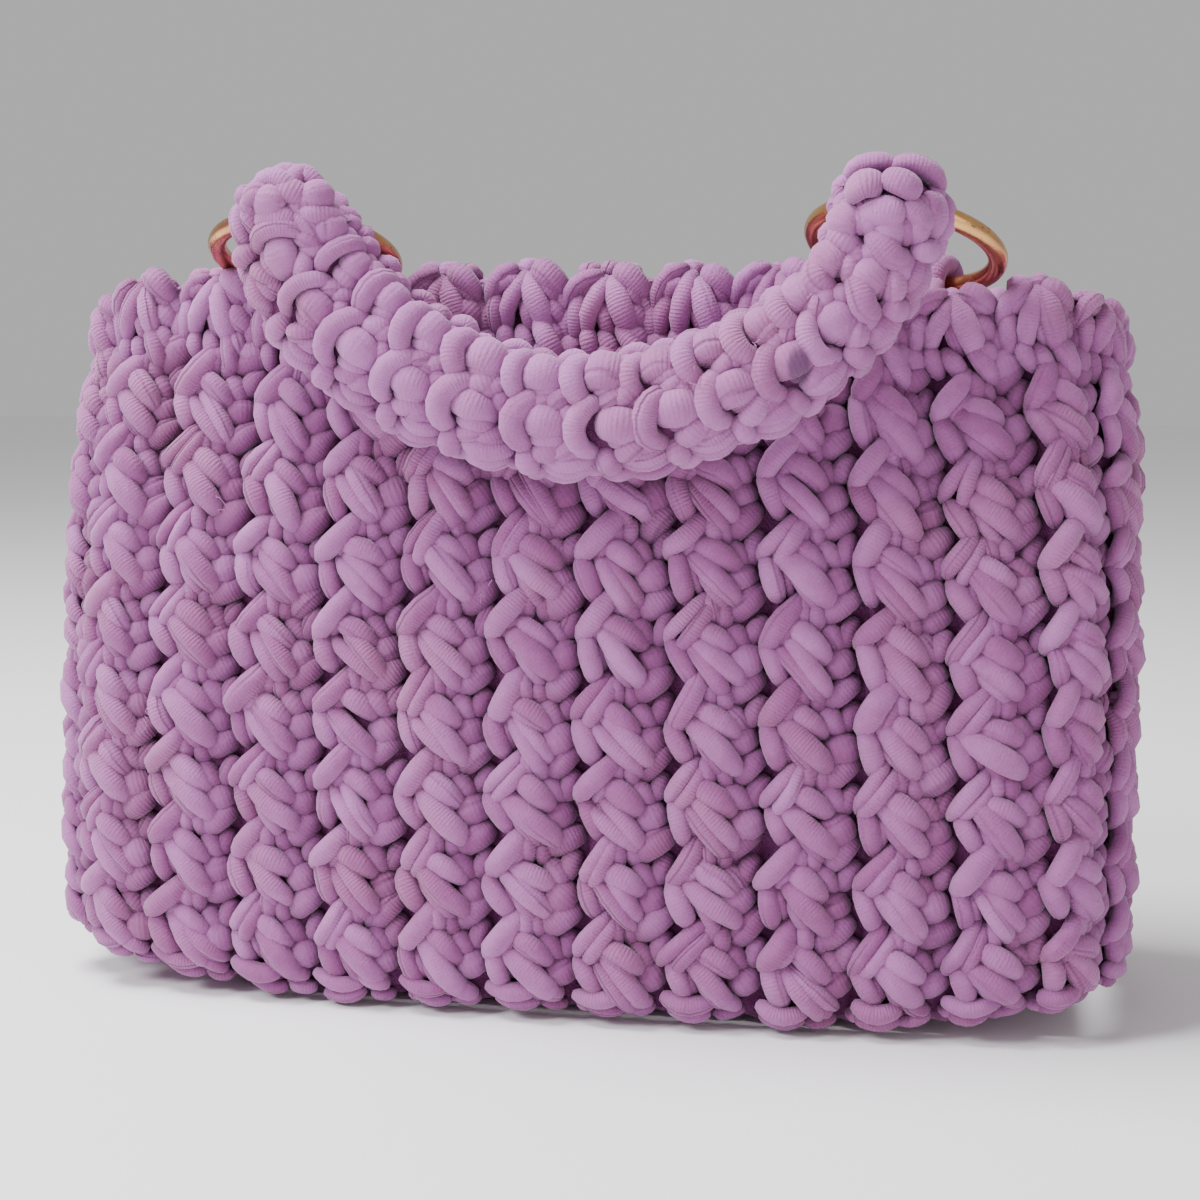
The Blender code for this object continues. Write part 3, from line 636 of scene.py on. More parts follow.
class HandleSkin:
    """The surface of the handle: how far along it from its middle, and how far round it from its front."""

    def __init__(self, sizes, shrink=0.0):
        self.sizes = sizes
        table = np.array(HANDLE_SECTIONS)
        left, right = handle_line(sizes)
        self.lengths = (length_along(left)[-1], length_along(right)[-1])
        line = np.concatenate([left[::-1], right[1:]])
        along = length_along(line) - self.lengths[0]
        heading = np.gradient(line, along, axis=0)
        heading /= np.linalg.norm(heading, axis=1)[:, None]
        self.stations = np.linspace(-self.lengths[0], self.lengths[1], STATIONS)
        angle = np.linspace(0, 2 * math.pi, 4 * SECTION + 1)
        oval = np.stack([np.cos(angle), np.sin(angle)], 1)
        oval = np.sign(oval) * np.abs(oval) ** SECTION_POWER
        rows = []
        self.girth = 0.0
        for place in self.stations:
            share = abs(place) / self.lengths[0 if place < 0 else 1]
            middle = np.array([np.interp(place, along, line[:, k]) for k in range(3)])
            forward = np.array([np.interp(place, along, heading[:, k]) for k in range(3)])
            out = np.array([0.0, -1.0, 0.0])
            across = np.cross(out, forward)
            across /= np.linalg.norm(across)
            half_width = np.interp(share, table[:, 0], table[:, 1 if place < 0 else 2]) * sizes.width / 2
            half_thick = np.interp(share, table[:, 0], table[:, 3]) * sizes.thickness / 2
            half_width, half_thick = max(half_width - shrink, 0.0005), max(half_thick - shrink, 0.0005)
            section = oval * np.array([half_thick, half_width])
            lengths = length_along(section)
            self.girth = max(self.girth, float(lengths[-1]))
            even = np.linspace(0, lengths[-1], SECTION + 1)[:-1]
            section = np.stack([np.interp(even, lengths, section[:, k]) for k in range(2)], 1)
            rows.append(middle + section[:, :1] * out + section[:, 1:] * across)
        self.points = np.array(rows)
        self.surface = Surface(self.points, False, True)

    def at(self, place, around):
        share = (place - self.stations[0]) / (self.stations[-1] - self.stations[0])
        return self.surface.at(share, around)


# Strands of yarn.


def deselect():
    if bpy.context.object and bpy.context.object.mode != "OBJECT":
        bpy.ops.object.mode_set(mode="OBJECT")
    bpy.ops.object.select_all(action="DESELECT")


def points_of(mesh):
    flat = np.zeros(len(mesh.vertices) * 3)
    mesh.vertices.foreach_get("co", flat)
    return flat.reshape(-1, 3)


def sphere_grid(mesh, sides, rings):
    """For each corner of a sphere, which ring it is on, counted from the lower pole, and which side."""
    places = points_of(mesh)
    from_pole = math.pi - np.arccos(np.clip(places[:, 2], -1, 1))
    station = np.rint(from_pole / (math.pi / rings)).astype(int)
    side = np.rint(np.arctan2(places[:, 1], places[:, 0]) / (2 * math.pi / sides)).astype(int) % sides
    return station, side


def spline(controls, stations):
    """Points of smooth curves through rows of control points, at these shares of the way along."""
    count = controls.shape[1]
    place = stations * (count - 1)
    low = np.clip(np.floor(place).astype(int), 0, count - 2)
    t = (place - low)[None, :, None]
    before = 2 * controls[:, :1] - controls[:, 1:2]
    after = 2 * controls[:, -1:] - controls[:, -2:-1]
    padded = np.concatenate([before, controls, after], 1)
    a, b, c, d = (padded[:, low + k] for k in range(4))
    return 0.5 * (2 * b + (c - a) * t + (2 * a - 5 * b + 4 * c - d) * t**2 + (3 * b - a - 3 * c + d) * t**3)


class Strand:
    """One plain strand, modelled once: where each of its corners stands on it, and its faces."""

    def __init__(self, sides, rings):
        deselect()
        bpy.ops.mesh.primitive_uv_sphere_add(segments=sides, ring_count=rings, radius=1)
        model = bpy.context.active_object
        self.station, side = sphere_grid(model.data, sides, rings)
        start, reach = SEEN_ARC  # most of the sides face out, where they are seen
        angles = [start + reach / (sides - 2) * (k + 1) for k in range(sides - 2)] + [270, start]
        self.angle = np.radians(np.array(angles)[side])
        self.faces = [list(face.vertices) for face in model.data.polygons]
        turn = np.linspace(0, math.pi, rings + 1)
        self.shares = (1 - np.cos(turn)) / 2
        self.fullness = np.clip(np.sin(turn), 0, 1) ** 1.25
        mesh = model.data
        bpy.data.objects.remove(model)
        bpy.data.meshes.remove(mesh)


class Yarn:
    """Many strands that become one piece."""

    def __init__(self, strand, seed):
        self.strand = strand
        self.random = np.random.default_rng(seed)
        self.corners, self.marks, self.count = [], [], 0

    def add(self, points, normals, depth, half_width, half_height, blunt):
        """Strands along rows of points. The depth is how far each point lies under the surface, which sets its
        painted shade.
        """
        strand, count = self.strand, len(points)
        depth = np.broadcast_to(depth, points.shape[:2])
        tangent = np.gradient(points, axis=1)
        tangent /= np.linalg.norm(tangent, axis=2, keepdims=True)
        normals = normals - (normals * tangent).sum(2, keepdims=True) * tangent
        normals /= np.linalg.norm(normals, axis=2, keepdims=True)
        beside = np.cross(normals, tangent)
        full = strand.fullness[None, :] ** np.reshape(blunt, (-1, 1))
        wide, high = full * np.reshape(half_width, (-1, 1)), full * np.reshape(half_height, (-1, 1))
        at, angle = strand.station, strand.angle
        across, out = wide[:, at] * np.cos(angle), high[:, at] * np.sin(angle)
        self.corners.append(points[:, at] + beside[:, at] * across[..., None] + normals[:, at] * out[..., None])
        steps = np.linalg.norm(np.diff(points, axis=1), axis=2)
        along = np.concatenate([np.zeros((count, 1)), np.cumsum(steps, 1)], 1) + self.random.random((count, 1))
        tone = np.repeat(self.random.random((count, 1)), len(at), 1)
        side = np.broadcast_to(np.cos(angle), tone.shape)
        # Painted shade: the deeper a point lies, the darker its colour will be turned.
        under = np.clip((depth[:, at] - out - SHADE_START) / SHADE_DEPTH, 0, 1)
        self.marks.append(np.stack([along[:, at], side, tone, under], 2))
        self.count += count

    def lay(self, skin, chart, first, second, scale_first, scale_second, plump=1.0):
        """Lays a chart's strands at these places on a skin, where one scale is a millimetre of the chart."""
        loosen = self.random.normal
        count = len(first)
        together = loosen(0, STRAY_STITCH, (count, 1, 2))
        for controls, half_width, half_height, blunt in chart:
            controls = np.array([point if len(point) == 4 else (*point, 0) for point in controls], float)
            rows = np.repeat(controls[None], count, 0)
            middle = rows[:, :, :2].mean(1, keepdims=True)
            turn = loosen(0, STRAY_TURN, (count, 1))
            stretch = 1 + loosen(0, STRAY_LENGTH, (count, 1))
            x, y = ((rows[:, :, k] - middle[:, :, k]) * stretch for k in range(2))
            rows[:, :, 0] = middle[:, :, 0] + x * np.cos(turn) - y * np.sin(turn)
            rows[:, :, 1] = middle[:, :, 1] + x * np.sin(turn) + y * np.cos(turn)
            rows[:, :, :2] += together + loosen(0, STRAY_STRAND, (count, 1, 2))
            rows[:, :, :2] += loosen(0, STRAY_POINT, (count, rows.shape[1], 2))
            rows[:, :, 2] += loosen(0, STRAY_OUT, (count, 1))
            path = spline(rows, self.strand.shares)
            scale_a, scale_b = np.reshape(scale_first, (-1, 1)), np.reshape(scale_second, (-1, 1))
            points, normals = skin.at(
                first[:, None] + path[..., 0] * scale_a, second[:, None] + path[..., 1] * scale_b
            )
            points = points + normals * path[..., 2:3] * MM
            lean = np.radians(path[..., 3:4])
            facing = normals * np.cos(lean) + np.array([0, 0, 1.0]) * np.sin(lean)
            thick = (1 + loosen(0, STRAY_THICKNESS, (count, 1))) * np.reshape(plump, (-1, 1))
            self.add(
                points, facing, -path[..., 2] * MM * np.cos(lean[..., 0]),
                half_width * MM * thick, half_height * MM * thick, blunt,
            )

    def piece(self, name, material):
        strand = self.strand
        corners = np.concatenate(self.corners).reshape(-1, 3)
        marks = np.concatenate(self.marks).reshape(-1, 4)
        size = len(strand.station)
        sizes = np.array([len(face) for face in strand.faces])
        flat = np.concatenate([np.array(face) for face in strand.faces])
        loops = (np.arange(self.count)[:, None] * size + flat[None]).ravel()
        totals = np.tile(sizes, self.count)
        mesh = bpy.data.meshes.new(name)
        mesh.vertices.add(len(corners))
        mesh.vertices.foreach_set("co", corners.ravel())
        mesh.loops.add(len(loops))
        mesh.loops.foreach_set("vertex_index", loops)
        mesh.polygons.add(len(totals))
        mesh.polygons.foreach_set("loop_start", np.concatenate([[0], np.cumsum(totals)[:-1]]))
        mesh.polygons.foreach_set("use_smooth", np.ones(len(totals), bool))
        mesh.update(calc_edges=True)
        mesh.validate()
        yarn = mesh.attributes.new("yarn", "FLOAT_VECTOR", "POINT")
        yarn.data.foreach_set("vector", marks[:, :3].ravel())
        under = mesh.attributes.new("under", "FLOAT", "POINT")
        under.data.foreach_set("value", marks[:, 3].copy())
        item = bpy.data.objects.new(name, mesh)
        bpy.context.scene.collection.objects.link(item)
        mesh.materials.append(material)
        return item


def dressed(item, slot, *nodes):
    """A finished piece rides on the bag and stands for these nodes, which it hides. The slot is not used."""
    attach(item, "root")
    if nodes:
        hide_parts(*nodes)
    return item


# Finishes.


class Number:
    """A shader socket that takes part in sums."""

    def __init__(self, finish, socket):
        self.finish, self.socket = finish, socket

    def sum(self, operation, *values):
        return self.finish.node("ShaderNodeMath", {"operation": operation}, dict(enumerate(values)))

    def __add__(self, other):
        return self.sum("ADD", self, other)

    def __radd__(self, other):
        return self.sum("ADD", other, self)

    def __sub__(self, other):
        return self.sum("SUBTRACT", self, other)

    def __rsub__(self, other):
        return self.sum("SUBTRACT", other, self)

    def __mul__(self, other):
        return self.sum("MULTIPLY", self, other)

    def __rmul__(self, other):
        return self.sum("MULTIPLY", other, self)

    def __pow__(self, other):
        return self.sum("POWER", self, other)

    def __abs__(self):
        return self.sum("ABSOLUTE", self)

    def sine(self):
        return self.sum("SINE", self)

    def clear(self):
        """Held between 0 and 1."""
        return self.finish.node("ShaderNodeClamp", {}, {0: self})

    def between(self, low, high):
        """0 below low and 1 above high, with a soft step between them."""
        return self.finish.node(
            "ShaderNodeMapRange", {"interpolation_type": "SMOOTHSTEP"}, {0: self, 1: low, 2: high}
        )


class Finish:
    """A material and its nodes."""

    def __init__(self, name):
        self.material = bpy.data.materials.new(name)
        self.material.use_nodes = True
        self.tree = self.material.node_tree
        self.shader = self.tree.nodes["Principled BSDF"]

    def node(self, kind, settings, values, output=0):
        made = self.tree.nodes.new(kind)
        for key, value in settings.items():
            setattr(made, key, value)
        for key, value in values.items():
            self.feed(made.inputs[key], value)
        return Number(self, made.outputs[output])

    def feed(self, socket, value):
        if isinstance(value, Number):
            self.tree.links.new(value.socket, socket)
        elif hasattr(value, "__len__") and socket.type == "RGBA":
            socket.default_value = (*value[:3], 1.0)
        else:
            socket.default_value = value

    def set(self, **values):
        for key, value in values.items():
            self.feed(self.shader.inputs[key.replace("_", " ")], value)

    def mix(self, share, first, second):
        return self.node("ShaderNodeMix", {"data_type": "RGBA"}, {0: share, 6: first, 7: second}, 2)

    def vector(self, operation, *values, output=0):
        return self.node("ShaderNodeVectorMath", {"operation": operation}, dict(enumerate(values)), output)

    def place(self):
        return self.node("ShaderNodeTexCoord", {}, {}, "Object")

    def noise(self, scale, detail=2.0, roughness=0.5):
        values = {"Vector": self.place(), "Scale": scale, "Detail": detail, "Roughness": roughness}
        return self.node("ShaderNodeTexNoise", {}, values)

    def attribute(self, name, output):
        return self.node("ShaderNodeAttribute", {"attribute_name": name}, {}, output)

    def bump(self, height, distance, strength):
        return self.node("ShaderNodeBump", {}, {"Height": height, "Distance": distance, "Strength": strength})


def yarn_finish(name, colours, painted_light_lift=0.0, mark=None):
    """Thick cotton yarn: knit lines across each strand and a crease along some. Painted shade darkens it where it
    lies low, along the crease and in the grooves of the knit lines; painted light makes a whole copy paler, and
    below zero painted shade makes it darker.
    """
    finish = Finish(name)
    vector = finish.attribute("yarn", "Vector")
    along, side, tone = (finish.node("ShaderNodeSeparateXYZ", {}, {0: vector}, k) for k in range(3))
    under = finish.attribute("under", "Fac")
    blotch = finish.noise(120.0, 3.0)
    patch = finish.noise(38.0, 2.0)
    grain = finish.noise(1900.0, 2.0, 0.7)
    lines = (along * (2 * math.pi / KNIT_LINE) + blotch * 5.0 + side * 0.8).sine()
    crease_place = tone * 1.1 - 0.55 + (blotch - 0.5) * 0.3
    creased = (tone * 7.31).sine().between(0.3, 0.8) * patch.between(0.3, 0.6)
    crease = (1 - abs(side - crease_place).between(0.0, 0.22)) * creased
    # Painted light: each piece's copy of the yarn is made paler as it is lit, and darker (painted shade) where the
    # number is below zero.
    pale = ((tone - 0.5) * 0.75 + (blotch - 0.5) * 1.3 + (grain - 0.5) * 0.5 + 0.45 + painted_light_lift).clear()
    body = finish.mix(pale, colours.middle, colours.light)
    body = finish.mix(patch.between(0.45, 0.75) * 0.45, body, colours.pink)
    # Painted shade: darker where the strand lies low, along its crease and faintly in the grooves of the knit
    # lines.
    shadow = (under**1.25 * 0.95 + crease * 0.22 + (0.5 - lines * 0.5) * 0.04).clear()
    body = finish.mix(shadow, body, colours.shade_purple)
    if mark:
        centre, radii = mark
        offset = finish.vector("SUBTRACT", finish.place(), centre)
        reach = finish.vector("LENGTH", finish.vector("DIVIDE", offset, radii), output="Value")
        spot = 1 - (reach + (blotch - 0.5) * 0.5).between(0.55, 1.15)
        body = finish.mix(spot * 0.72, body, colours.stain)
    finish.set(Base_Color=body, Roughness=0.88)
    finish.set(Specular_IOR_Level=0.25, Sheen_Weight=0.25, Sheen_Roughness=0.45)
    height = lines * (0.09 + patch.between(0.42, 0.66) * 0.15) + grain * 1.1 + blotch * 1.5 - crease * 1.8
    finish.set(Normal=finish.bump(height, 0.00030, 0.9))
    return finish.material


def shared_yarn(colours):
    """The yarn of the body's outside, its base and the loops."""
    return bpy.data.materials.get("lilac_yarn") or yarn_finish("lilac_yarn", colours)


def shaded_ground_finish(name, colours):
    """The ground behind the stitches, of the same yarn, darkened towards the shade purple as painted shade."""
    finish = Finish(name)
    blotch, grain = finish.noise(260.0, 3.0), finish.noise(1700.0)
    body = finish.mix(blotch.between(0.2, 0.8), colours.shade_purple, colours.middle)
    # Painted shade: the ground's yarn colour is turned well towards the shade colour.
    finish.set(Base_Color=finish.mix(0.6, body, colours.shade_purple), Roughness=0.95, Specular_IOR_Level=0.1)
    finish.set(Normal=finish.bump(blotch * 2.0 + grain, 0.0009, 1.0))
    return finish.material


def metal_finish(name, colours, warmth):
    """Worn gold plating with warm patches, fine scratches and dull specks."""
    finish = Finish(name)
    patch, speck, fine = finish.noise(90.0, 3.0), finish.noise(620.0, 2.0), finish.noise(2600.0, 2.0)
    body = finish.mix((patch.between(0.35, 0.65) * 0.6 + warmth).clear(), colours.gold, colours.copper)
    dull = speck.between(0.66, 0.74)
    body = finish.mix(dull * 0.85, body, colours.tarnish)
    finish.set(Base_Color=body, Metallic=1.0, Roughness=(0.17 + patch * 0.14 + dull * 0.35).clear())
    finish.set(Normal=finish.bump(fine * 0.4 + speck * 0.6 + patch, 0.00012, 0.6))
    return finish.material


def plain_finish(name, colour):
    """Smooth, dull paint with hardly any clouds in it."""
    finish = Finish(name)
    cloud = finish.noise(3.0)
    finish.set(Base_Color=finish.mix(cloud * 0.04, colour, (0.88, 0.87, 0.87)), Roughness=0.9)
    return finish.material


# The steps, one for each piece or group of like pieces.


def rows_on_body(skin, columns, rounds, shift, offset=0.0):
    """Where the cells of the chart start: how far round and how far up, for these ribs and rounds."""
    sizes = skin.sizes
    starts = skin.crests()[columns] - shift / skin.girth
    around, turns = np.meshgrid(starts, np.array(rounds, float), indexing="ij")
    up = 0.999 - turns * sizes.round_height / sizes.height + offset
    return around.ravel(), up.ravel()


def body_scales(skin):
    """Shares of the way round and up that one chart millimetre takes."""
    sizes = skin.sizes
    cell = skin.girth / sizes.ribs / MM
    return 1 / (cell * sizes.ribs), MM / sizes.height


class HANDBAG_OT_core(bpy.types.Operator):
    """Add the ground behind the body's stitches, dark with painted shade"""

    bl_idname = "handbag.core"
    bl_label = "Ground of the body"

    def execute(self, context):
        sizes, colours = context.scene.bag_sizes, context.scene.bag_colours
        skin = BodySkin(sizes)
        outer, inner = np.linspace(0.012, 0.975, 12), np.linspace(0.975, 0.012, 6)
        around_count, profile_count = sizes.ribs * 6, len(outer) + len(inner)
        deselect()
        bpy.ops.mesh.primitive_torus_add(major_segments=around_count, minor_segments=profile_count)
        item = context.active_object
        item.name = item.data.name = "body_core"
        turn = np.arange(around_count) / 6
        valley = 1 - np.abs(np.cos(math.pi * turn))
        around = (turn / sizes.ribs + sizes.rib_start / skin.girth) % 1.0
        columns = []
        for up in outer:
            points, normals = skin.at(around, np.full(around_count, up))
            columns.append(points - normals * (sizes.core_depth + sizes.core_valley * valley)[:, None])
        for up in inner:
            points, normals = skin.at(around, np.full(around_count, up))
            columns.append(points - normals * sizes.core_inner)
        places = np.array(columns).transpose(1, 0, 2).reshape(-1, 3)
        item.data.vertices.foreach_set("co", places.ravel())
        item.data.update()
        bpy.ops.object.shade_smooth()
        item.data.materials.append(shaded_ground_finish("yarn_ground", colours))
        dressed(item, "body_yarn", *WALL_NODES)
        return {"FINISHED"}


class HANDBAG_OT_ribs(bpy.types.Operator):
    """Work the ribbed outside of the body"""

    bl_idname = "handbag.ribs"
    bl_label = "Ribs of the body"

    def execute(self, context):
        sizes, colours = context.scene.bag_sizes, context.scene.bag_colours
        skin, strand = BodySkin(sizes), Strand(*STRANDS["ribs"])
        material = shared_yarn(colours)
        around_scale, up_scale = body_scales(skin)
        crests = skin.crests()
        middles = skin.at(crests, np.full(len(crests), 0.4))[0]
        groups = {
            "body_front_stitches": (middles[:, 1] < 0) & (np.abs(middles[:, 0]) < END_RIBS),
            "body_rear_stitches": (middles[:, 1] >= 0) & (np.abs(middles[:, 0]) < END_RIBS),
            "body_left_stitches": middles[:, 0] <= -END_RIBS,
            "body_right_stitches": middles[:, 0] >= END_RIBS,
        }
        for number, (name, chosen) in enumerate(groups.items()):
            columns = np.flatnonzero(chosen)
            yarn = Yarn(strand, SEEDS["ribs"] + number)
            around, up = rows_on_body(skin, columns, range(1, sizes.rounds + 1), sizes.rib_shift)
            yarn.lay(skin, RIB_CHART, around, up, around_scale, up_scale)
            for charts in (RIGHT_LEAN_CHARTS, LEFT_LEAN_CHARTS):
                paired = yarn.random.random(len(around)) < PAIRED_SHARE
                for chart, cells in zip(charts, (~paired, paired)):
                    yarn.lay(skin, chart, around[cells], up[cells], around_scale, up_scale)
            around, up = rows_on_body(skin, columns, [sizes.rounds + 1], sizes.rib_shift)
            for chart in (FOOT_CHART, UNDER_CHART):
                yarn.lay(skin, chart, around, up, around_scale, up_scale)
            dressed(yarn.piece(name, material), "body_yarn", *WALL_NODES)
        return {"FINISHED"}


class HANDBAG_OT_inside(bpy.types.Operator):
    """Work the flatter bars of the body's inner face"""

    bl_idname = "handbag.inside"
    bl_label = "Inside of the body"

    def execute(self, context):
        sizes = context.scene.bag_sizes
        skin = BodySkin(sizes)
        yarn = Yarn(Strand(*STRANDS["inside"]), SEEDS["inside"])
        ribs, rounds = np.arange(sizes.ribs), range(1, sizes.rounds + 1)
        around, up = rows_on_body(skin, ribs, rounds, sizes.rib_shift, INSIDE_RISE)
        yarn.lay(skin, INSIDE_CHART, around, up, *body_scales(skin))
        # Painted shade: the inside's copy of the yarn is darker.
        material = yarn_finish("inner_yarn", context.scene.bag_colours, -0.1)
        dressed(yarn.piece("body_inside_stitches", material), "body_yarn", *WALL_NODES)
        return {"FINISHED"}


class HANDBAG_OT_rim(bpy.types.Operator):
    """Work the scalloped last row and fold it over the rim"""

    bl_idname = "handbag.rim"
    bl_label = "Scalloped rim"

    def execute(self, context):
        sizes = context.scene.bag_sizes
        skin = BodySkin(sizes)
        yarn = Yarn(Strand(*STRANDS["rim"]), SEEDS["rim"])
        around, up = rows_on_body(skin, np.arange(sizes.ribs), [0], sizes.rim_shift)
        for chart in (RIM_CHART, RIM_TOP_CHART):
            yarn.lay(skin, chart, around, up, *body_scales(skin))
        self.ties(context.scene.handle_sizes, yarn)
        # Painted light: the rim's copy of the yarn is paler.
        material = yarn_finish("rim_yarn", context.scene.bag_colours, 0.22)
        dressed(yarn.piece("rim_stitches", material), "body_yarn", "rim_edging")
        return {"FINISHED"}

    @staticmethod
    def ties(sizes, yarn):
        """Short strands from the loops round the rings down into the rim."""
        for word in ("left", "right"):
            for turn in (-1, 1):
                spin = Matrix.Rotation(-turn * sizes.loop_angle, 4, "Z")
                wire = np.array(ring_frame(sizes, word) @ spin @ Vector((0, ring_radius(sizes), 0)))
                for controls, half_width, half_height, blunt in TIE_CHART:
                    points = spline((wire + np.array(controls) * MM)[None], yarn.strand.shares)
                    yarn.add(points, np.array([0.0, 0.0, 1.0]), 0.0, half_width * MM, half_height * MM, blunt)


class HANDBAG_OT_base(bpy.types.Operator):
    """Work the bottom of the bag, seen from below and from inside"""

    bl_idname = "handbag.base"
    bl_label = "Base"

    def execute(self, context):
        sizes, colours = context.scene.bag_sizes, context.scene.bag_colours
        low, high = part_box("base")
        yarn = Yarn(Strand(*STRANDS["base"]), SEEDS["base"])
        pitch_x, pitch_y = BASE_PITCH
        starts = np.arange(low.x + 0.004, high.x - pitch_x, pitch_x)
        rows = np.arange(low.y + 0.006, high.y - 0.003, pitch_y)
        x, y = (grid.ravel() for grid in np.meshgrid(starts, rows, indexing="ij"))
        swell = 1 - (x / (sizes.width / 2)) ** 2
        front, rear = BASE_HALF_DEPTH + sizes.front_bulge * swell, BASE_HALF_DEPTH + sizes.rear_bulge * swell
        inside = (y > -front) & (y < rear)
        x, y = x[inside], y[inside]
        for face in (-1, 1):
            for controls, half_width, half_height, blunt in BASE_CHART:
                rows = np.repeat(np.array(controls)[None], len(x), 0) * MM
                rows[:, :, :2] += yarn.random.normal(0, STRAY_PLAIN, (len(x), rows.shape[1], 2))
                path = spline(rows, yarn.strand.shares)
                across, along = x[:, None] + path[..., 0], y[:, None] + path[..., 1]
                level = foot_height(sizes, across) + (BASE_SINK if face < 0 else BASE_THICKNESS - BASE_SINK)
                points = np.stack([across, along, level + face * (path[..., 2] - 0.0012)], 2)
                outward = np.array([0.0, 0.0, face])
                yarn.add(points, outward, PLAIN_DEPTH, half_width * MM, half_height * MM, blunt)
        dressed(yarn.piece("base_stitches", shared_yarn(colours)), "body_yarn", "base")
        self.core(sizes, colours, high.x)
        return {"FINISHED"}

    @staticmethod
    def core(sizes, colours, reach):
        """The ground inside the bottom, dark with painted shade."""
        deselect()
        bpy.ops.mesh.primitive_cube_add(size=1)
        item = bpy.context.active_object
        item.name = item.data.name = "base_core"
        bpy.ops.object.mode_set(mode="EDIT")
        bpy.ops.mesh.select_all(action="SELECT")
        bpy.ops.mesh.subdivide(number_cuts=19)
        bpy.ops.object.mode_set(mode="OBJECT")
        share_x, share_y, share_z = points_of(item.data).T * 2
        across = share_x * (reach - 0.002)
        swell = 1 - (across / (sizes.width / 2)) ** 2
        bulge = np.where(share_y < 0, sizes.front_bulge, sizes.rear_bulge)
        half = BASE_HALF_DEPTH + 0.0005 + bulge * swell * 0.9
        level = foot_height(sizes, across) + BASE_THICKNESS / 2 + share_z * 0.0012
        item.data.vertices.foreach_set("co", np.stack([across, share_y * half, level], 1).ravel())
        item.data.update()
        item.data.materials.append(shaded_ground_finish("base_ground", colours))
        dressed(item, "body_yarn", "base")


class HANDBAG_OT_handle(bpy.types.Operator):
    """Work the short handle and fold its ends over the rings"""

    bl_idname = "handbag.handle"
    bl_label = "Handle"

    def execute(self, context):
        sizes, colours = context.scene.handle_sizes, context.scene.bag_colours
        skin, yarn = HandleSkin(sizes), Yarn(Strand(*STRANDS["handle"]), SEEDS["handle"])
        ends = [length - HANDLE_STOP for length in skin.lengths]
        places = [HANDLE_START]
        while places[-1] < ends[1]:
            places.append(places[-1] + self.pitch(sizes, places[-1], ends[1]))
        back = [places[0]]
        while back[-1] > -ends[0]:
            back.append(back[-1] - self.pitch(sizes, back[-1], ends[0]))
        places = np.array(back[:0:-1] + [place * ends[1] / places[-1] for place in places[:-1]])
        pitch = np.array([self.pitch(sizes, place, ends[0 if place < 0 else 1]) for place in places])
        along_scale = MM * pitch / sizes.pitch_middle
        plump = (pitch / sizes.pitch_middle) ** 0.35
        everywhere, near_end = np.full(len(places), True), places > RIGHT_END_SHARE * ends[1]
        for number, (row, chart) in enumerate(HANDLE_ROWS):
            start = places + HANDLE_ROW_STEP * number * along_scale
            parts = [(chart, everywhere)]
            if chart is HANDLE_STITCH:
                parts += [(HANDLE_LOBE, ~near_end), (HANDLE_END_LOBE, near_end)]
            for part, here in parts:
                rows = np.full(here.sum(), row)
                yarn.lay(skin, part, start[here], rows, along_scale[here], MM / skin.girth, plump[here])
        self.fold(sizes, yarn)
        # Painted light: the handle's copy of the yarn is paler.
        material = yarn_finish("handle_yarn", colours, 0.30, STAIN)
        dressed(yarn.piece("handle_stitches", material), "handle_yarn", "handle")
        self.core(sizes, colours)
        return {"FINISHED"}

    @staticmethod
    def pitch(sizes, place, end):
        share = min(abs(place) / end, 1.0)
        return sizes.pitch_middle + (sizes.pitch_end - sizes.pitch_middle) * share**1.3

    @staticmethod
    def fold(sizes, yarn):
        """Fat strands from the front over the wire to the back, at each end."""
        for word in ("left", "right"):
            centre = np.array(handle_end(sizes, word))
            for controls, half_width, half_height, blunt in FOLD_CHART + FOLD_TOP_CHARTS[word]:
                rows = np.array(controls) * MM
                rows = (centre + rows)[None] + yarn.random.normal(0, STRAY_PLAIN, (1, len(controls), 3))
                points = spline(rows, yarn.strand.shares)
                outward = points - (centre - np.array([0, 0, 0.004]))
                outward /= np.linalg.norm(outward, axis=2, keepdims=True)
                yarn.add(points, outward, FOLD_DEPTH, half_width * MM, half_height * MM, blunt)

    @staticmethod
    def core(sizes, colours):
        """The ground inside the handle, dark with painted shade, from a sphere drawn out along it."""
        inner = HandleSkin(sizes, CORE_SHRINK)
        rings, sides = len(inner.stations) - 1, inner.points.shape[1]
        deselect()
        bpy.ops.mesh.primitive_uv_sphere_add(segments=sides, ring_count=rings, radius=1)
        item = bpy.context.active_object
        item.name = item.data.name = "handle_core"
        station, side = sphere_grid(item.data, sides, rings)
        moved = inner.points[station, (-side) % sides]
        ends = (station == 0) | (station == rings)
        moved[ends] = inner.points.mean(1)[station[ends]]
        moved[:, 2] -= 0.004 * np.clip((moved[:, 2] - 0.205) / 0.02, 0, 1)  # well under the folds' strands
        item.data.vertices.foreach_set("co", moved.ravel())
        item.data.update()
        bpy.ops.object.mode_set(mode="EDIT")
        bpy.ops.mesh.select_all(action="SELECT")
        bpy.ops.mesh.normals_make_consistent(inside=False)
        bpy.ops.object.mode_set(mode="OBJECT")
        bpy.ops.object.shade_smooth()
        item.data.materials.append(shaded_ground_finish("handle_ground", colours))
        dressed(item, "handle_yarn", "handle")


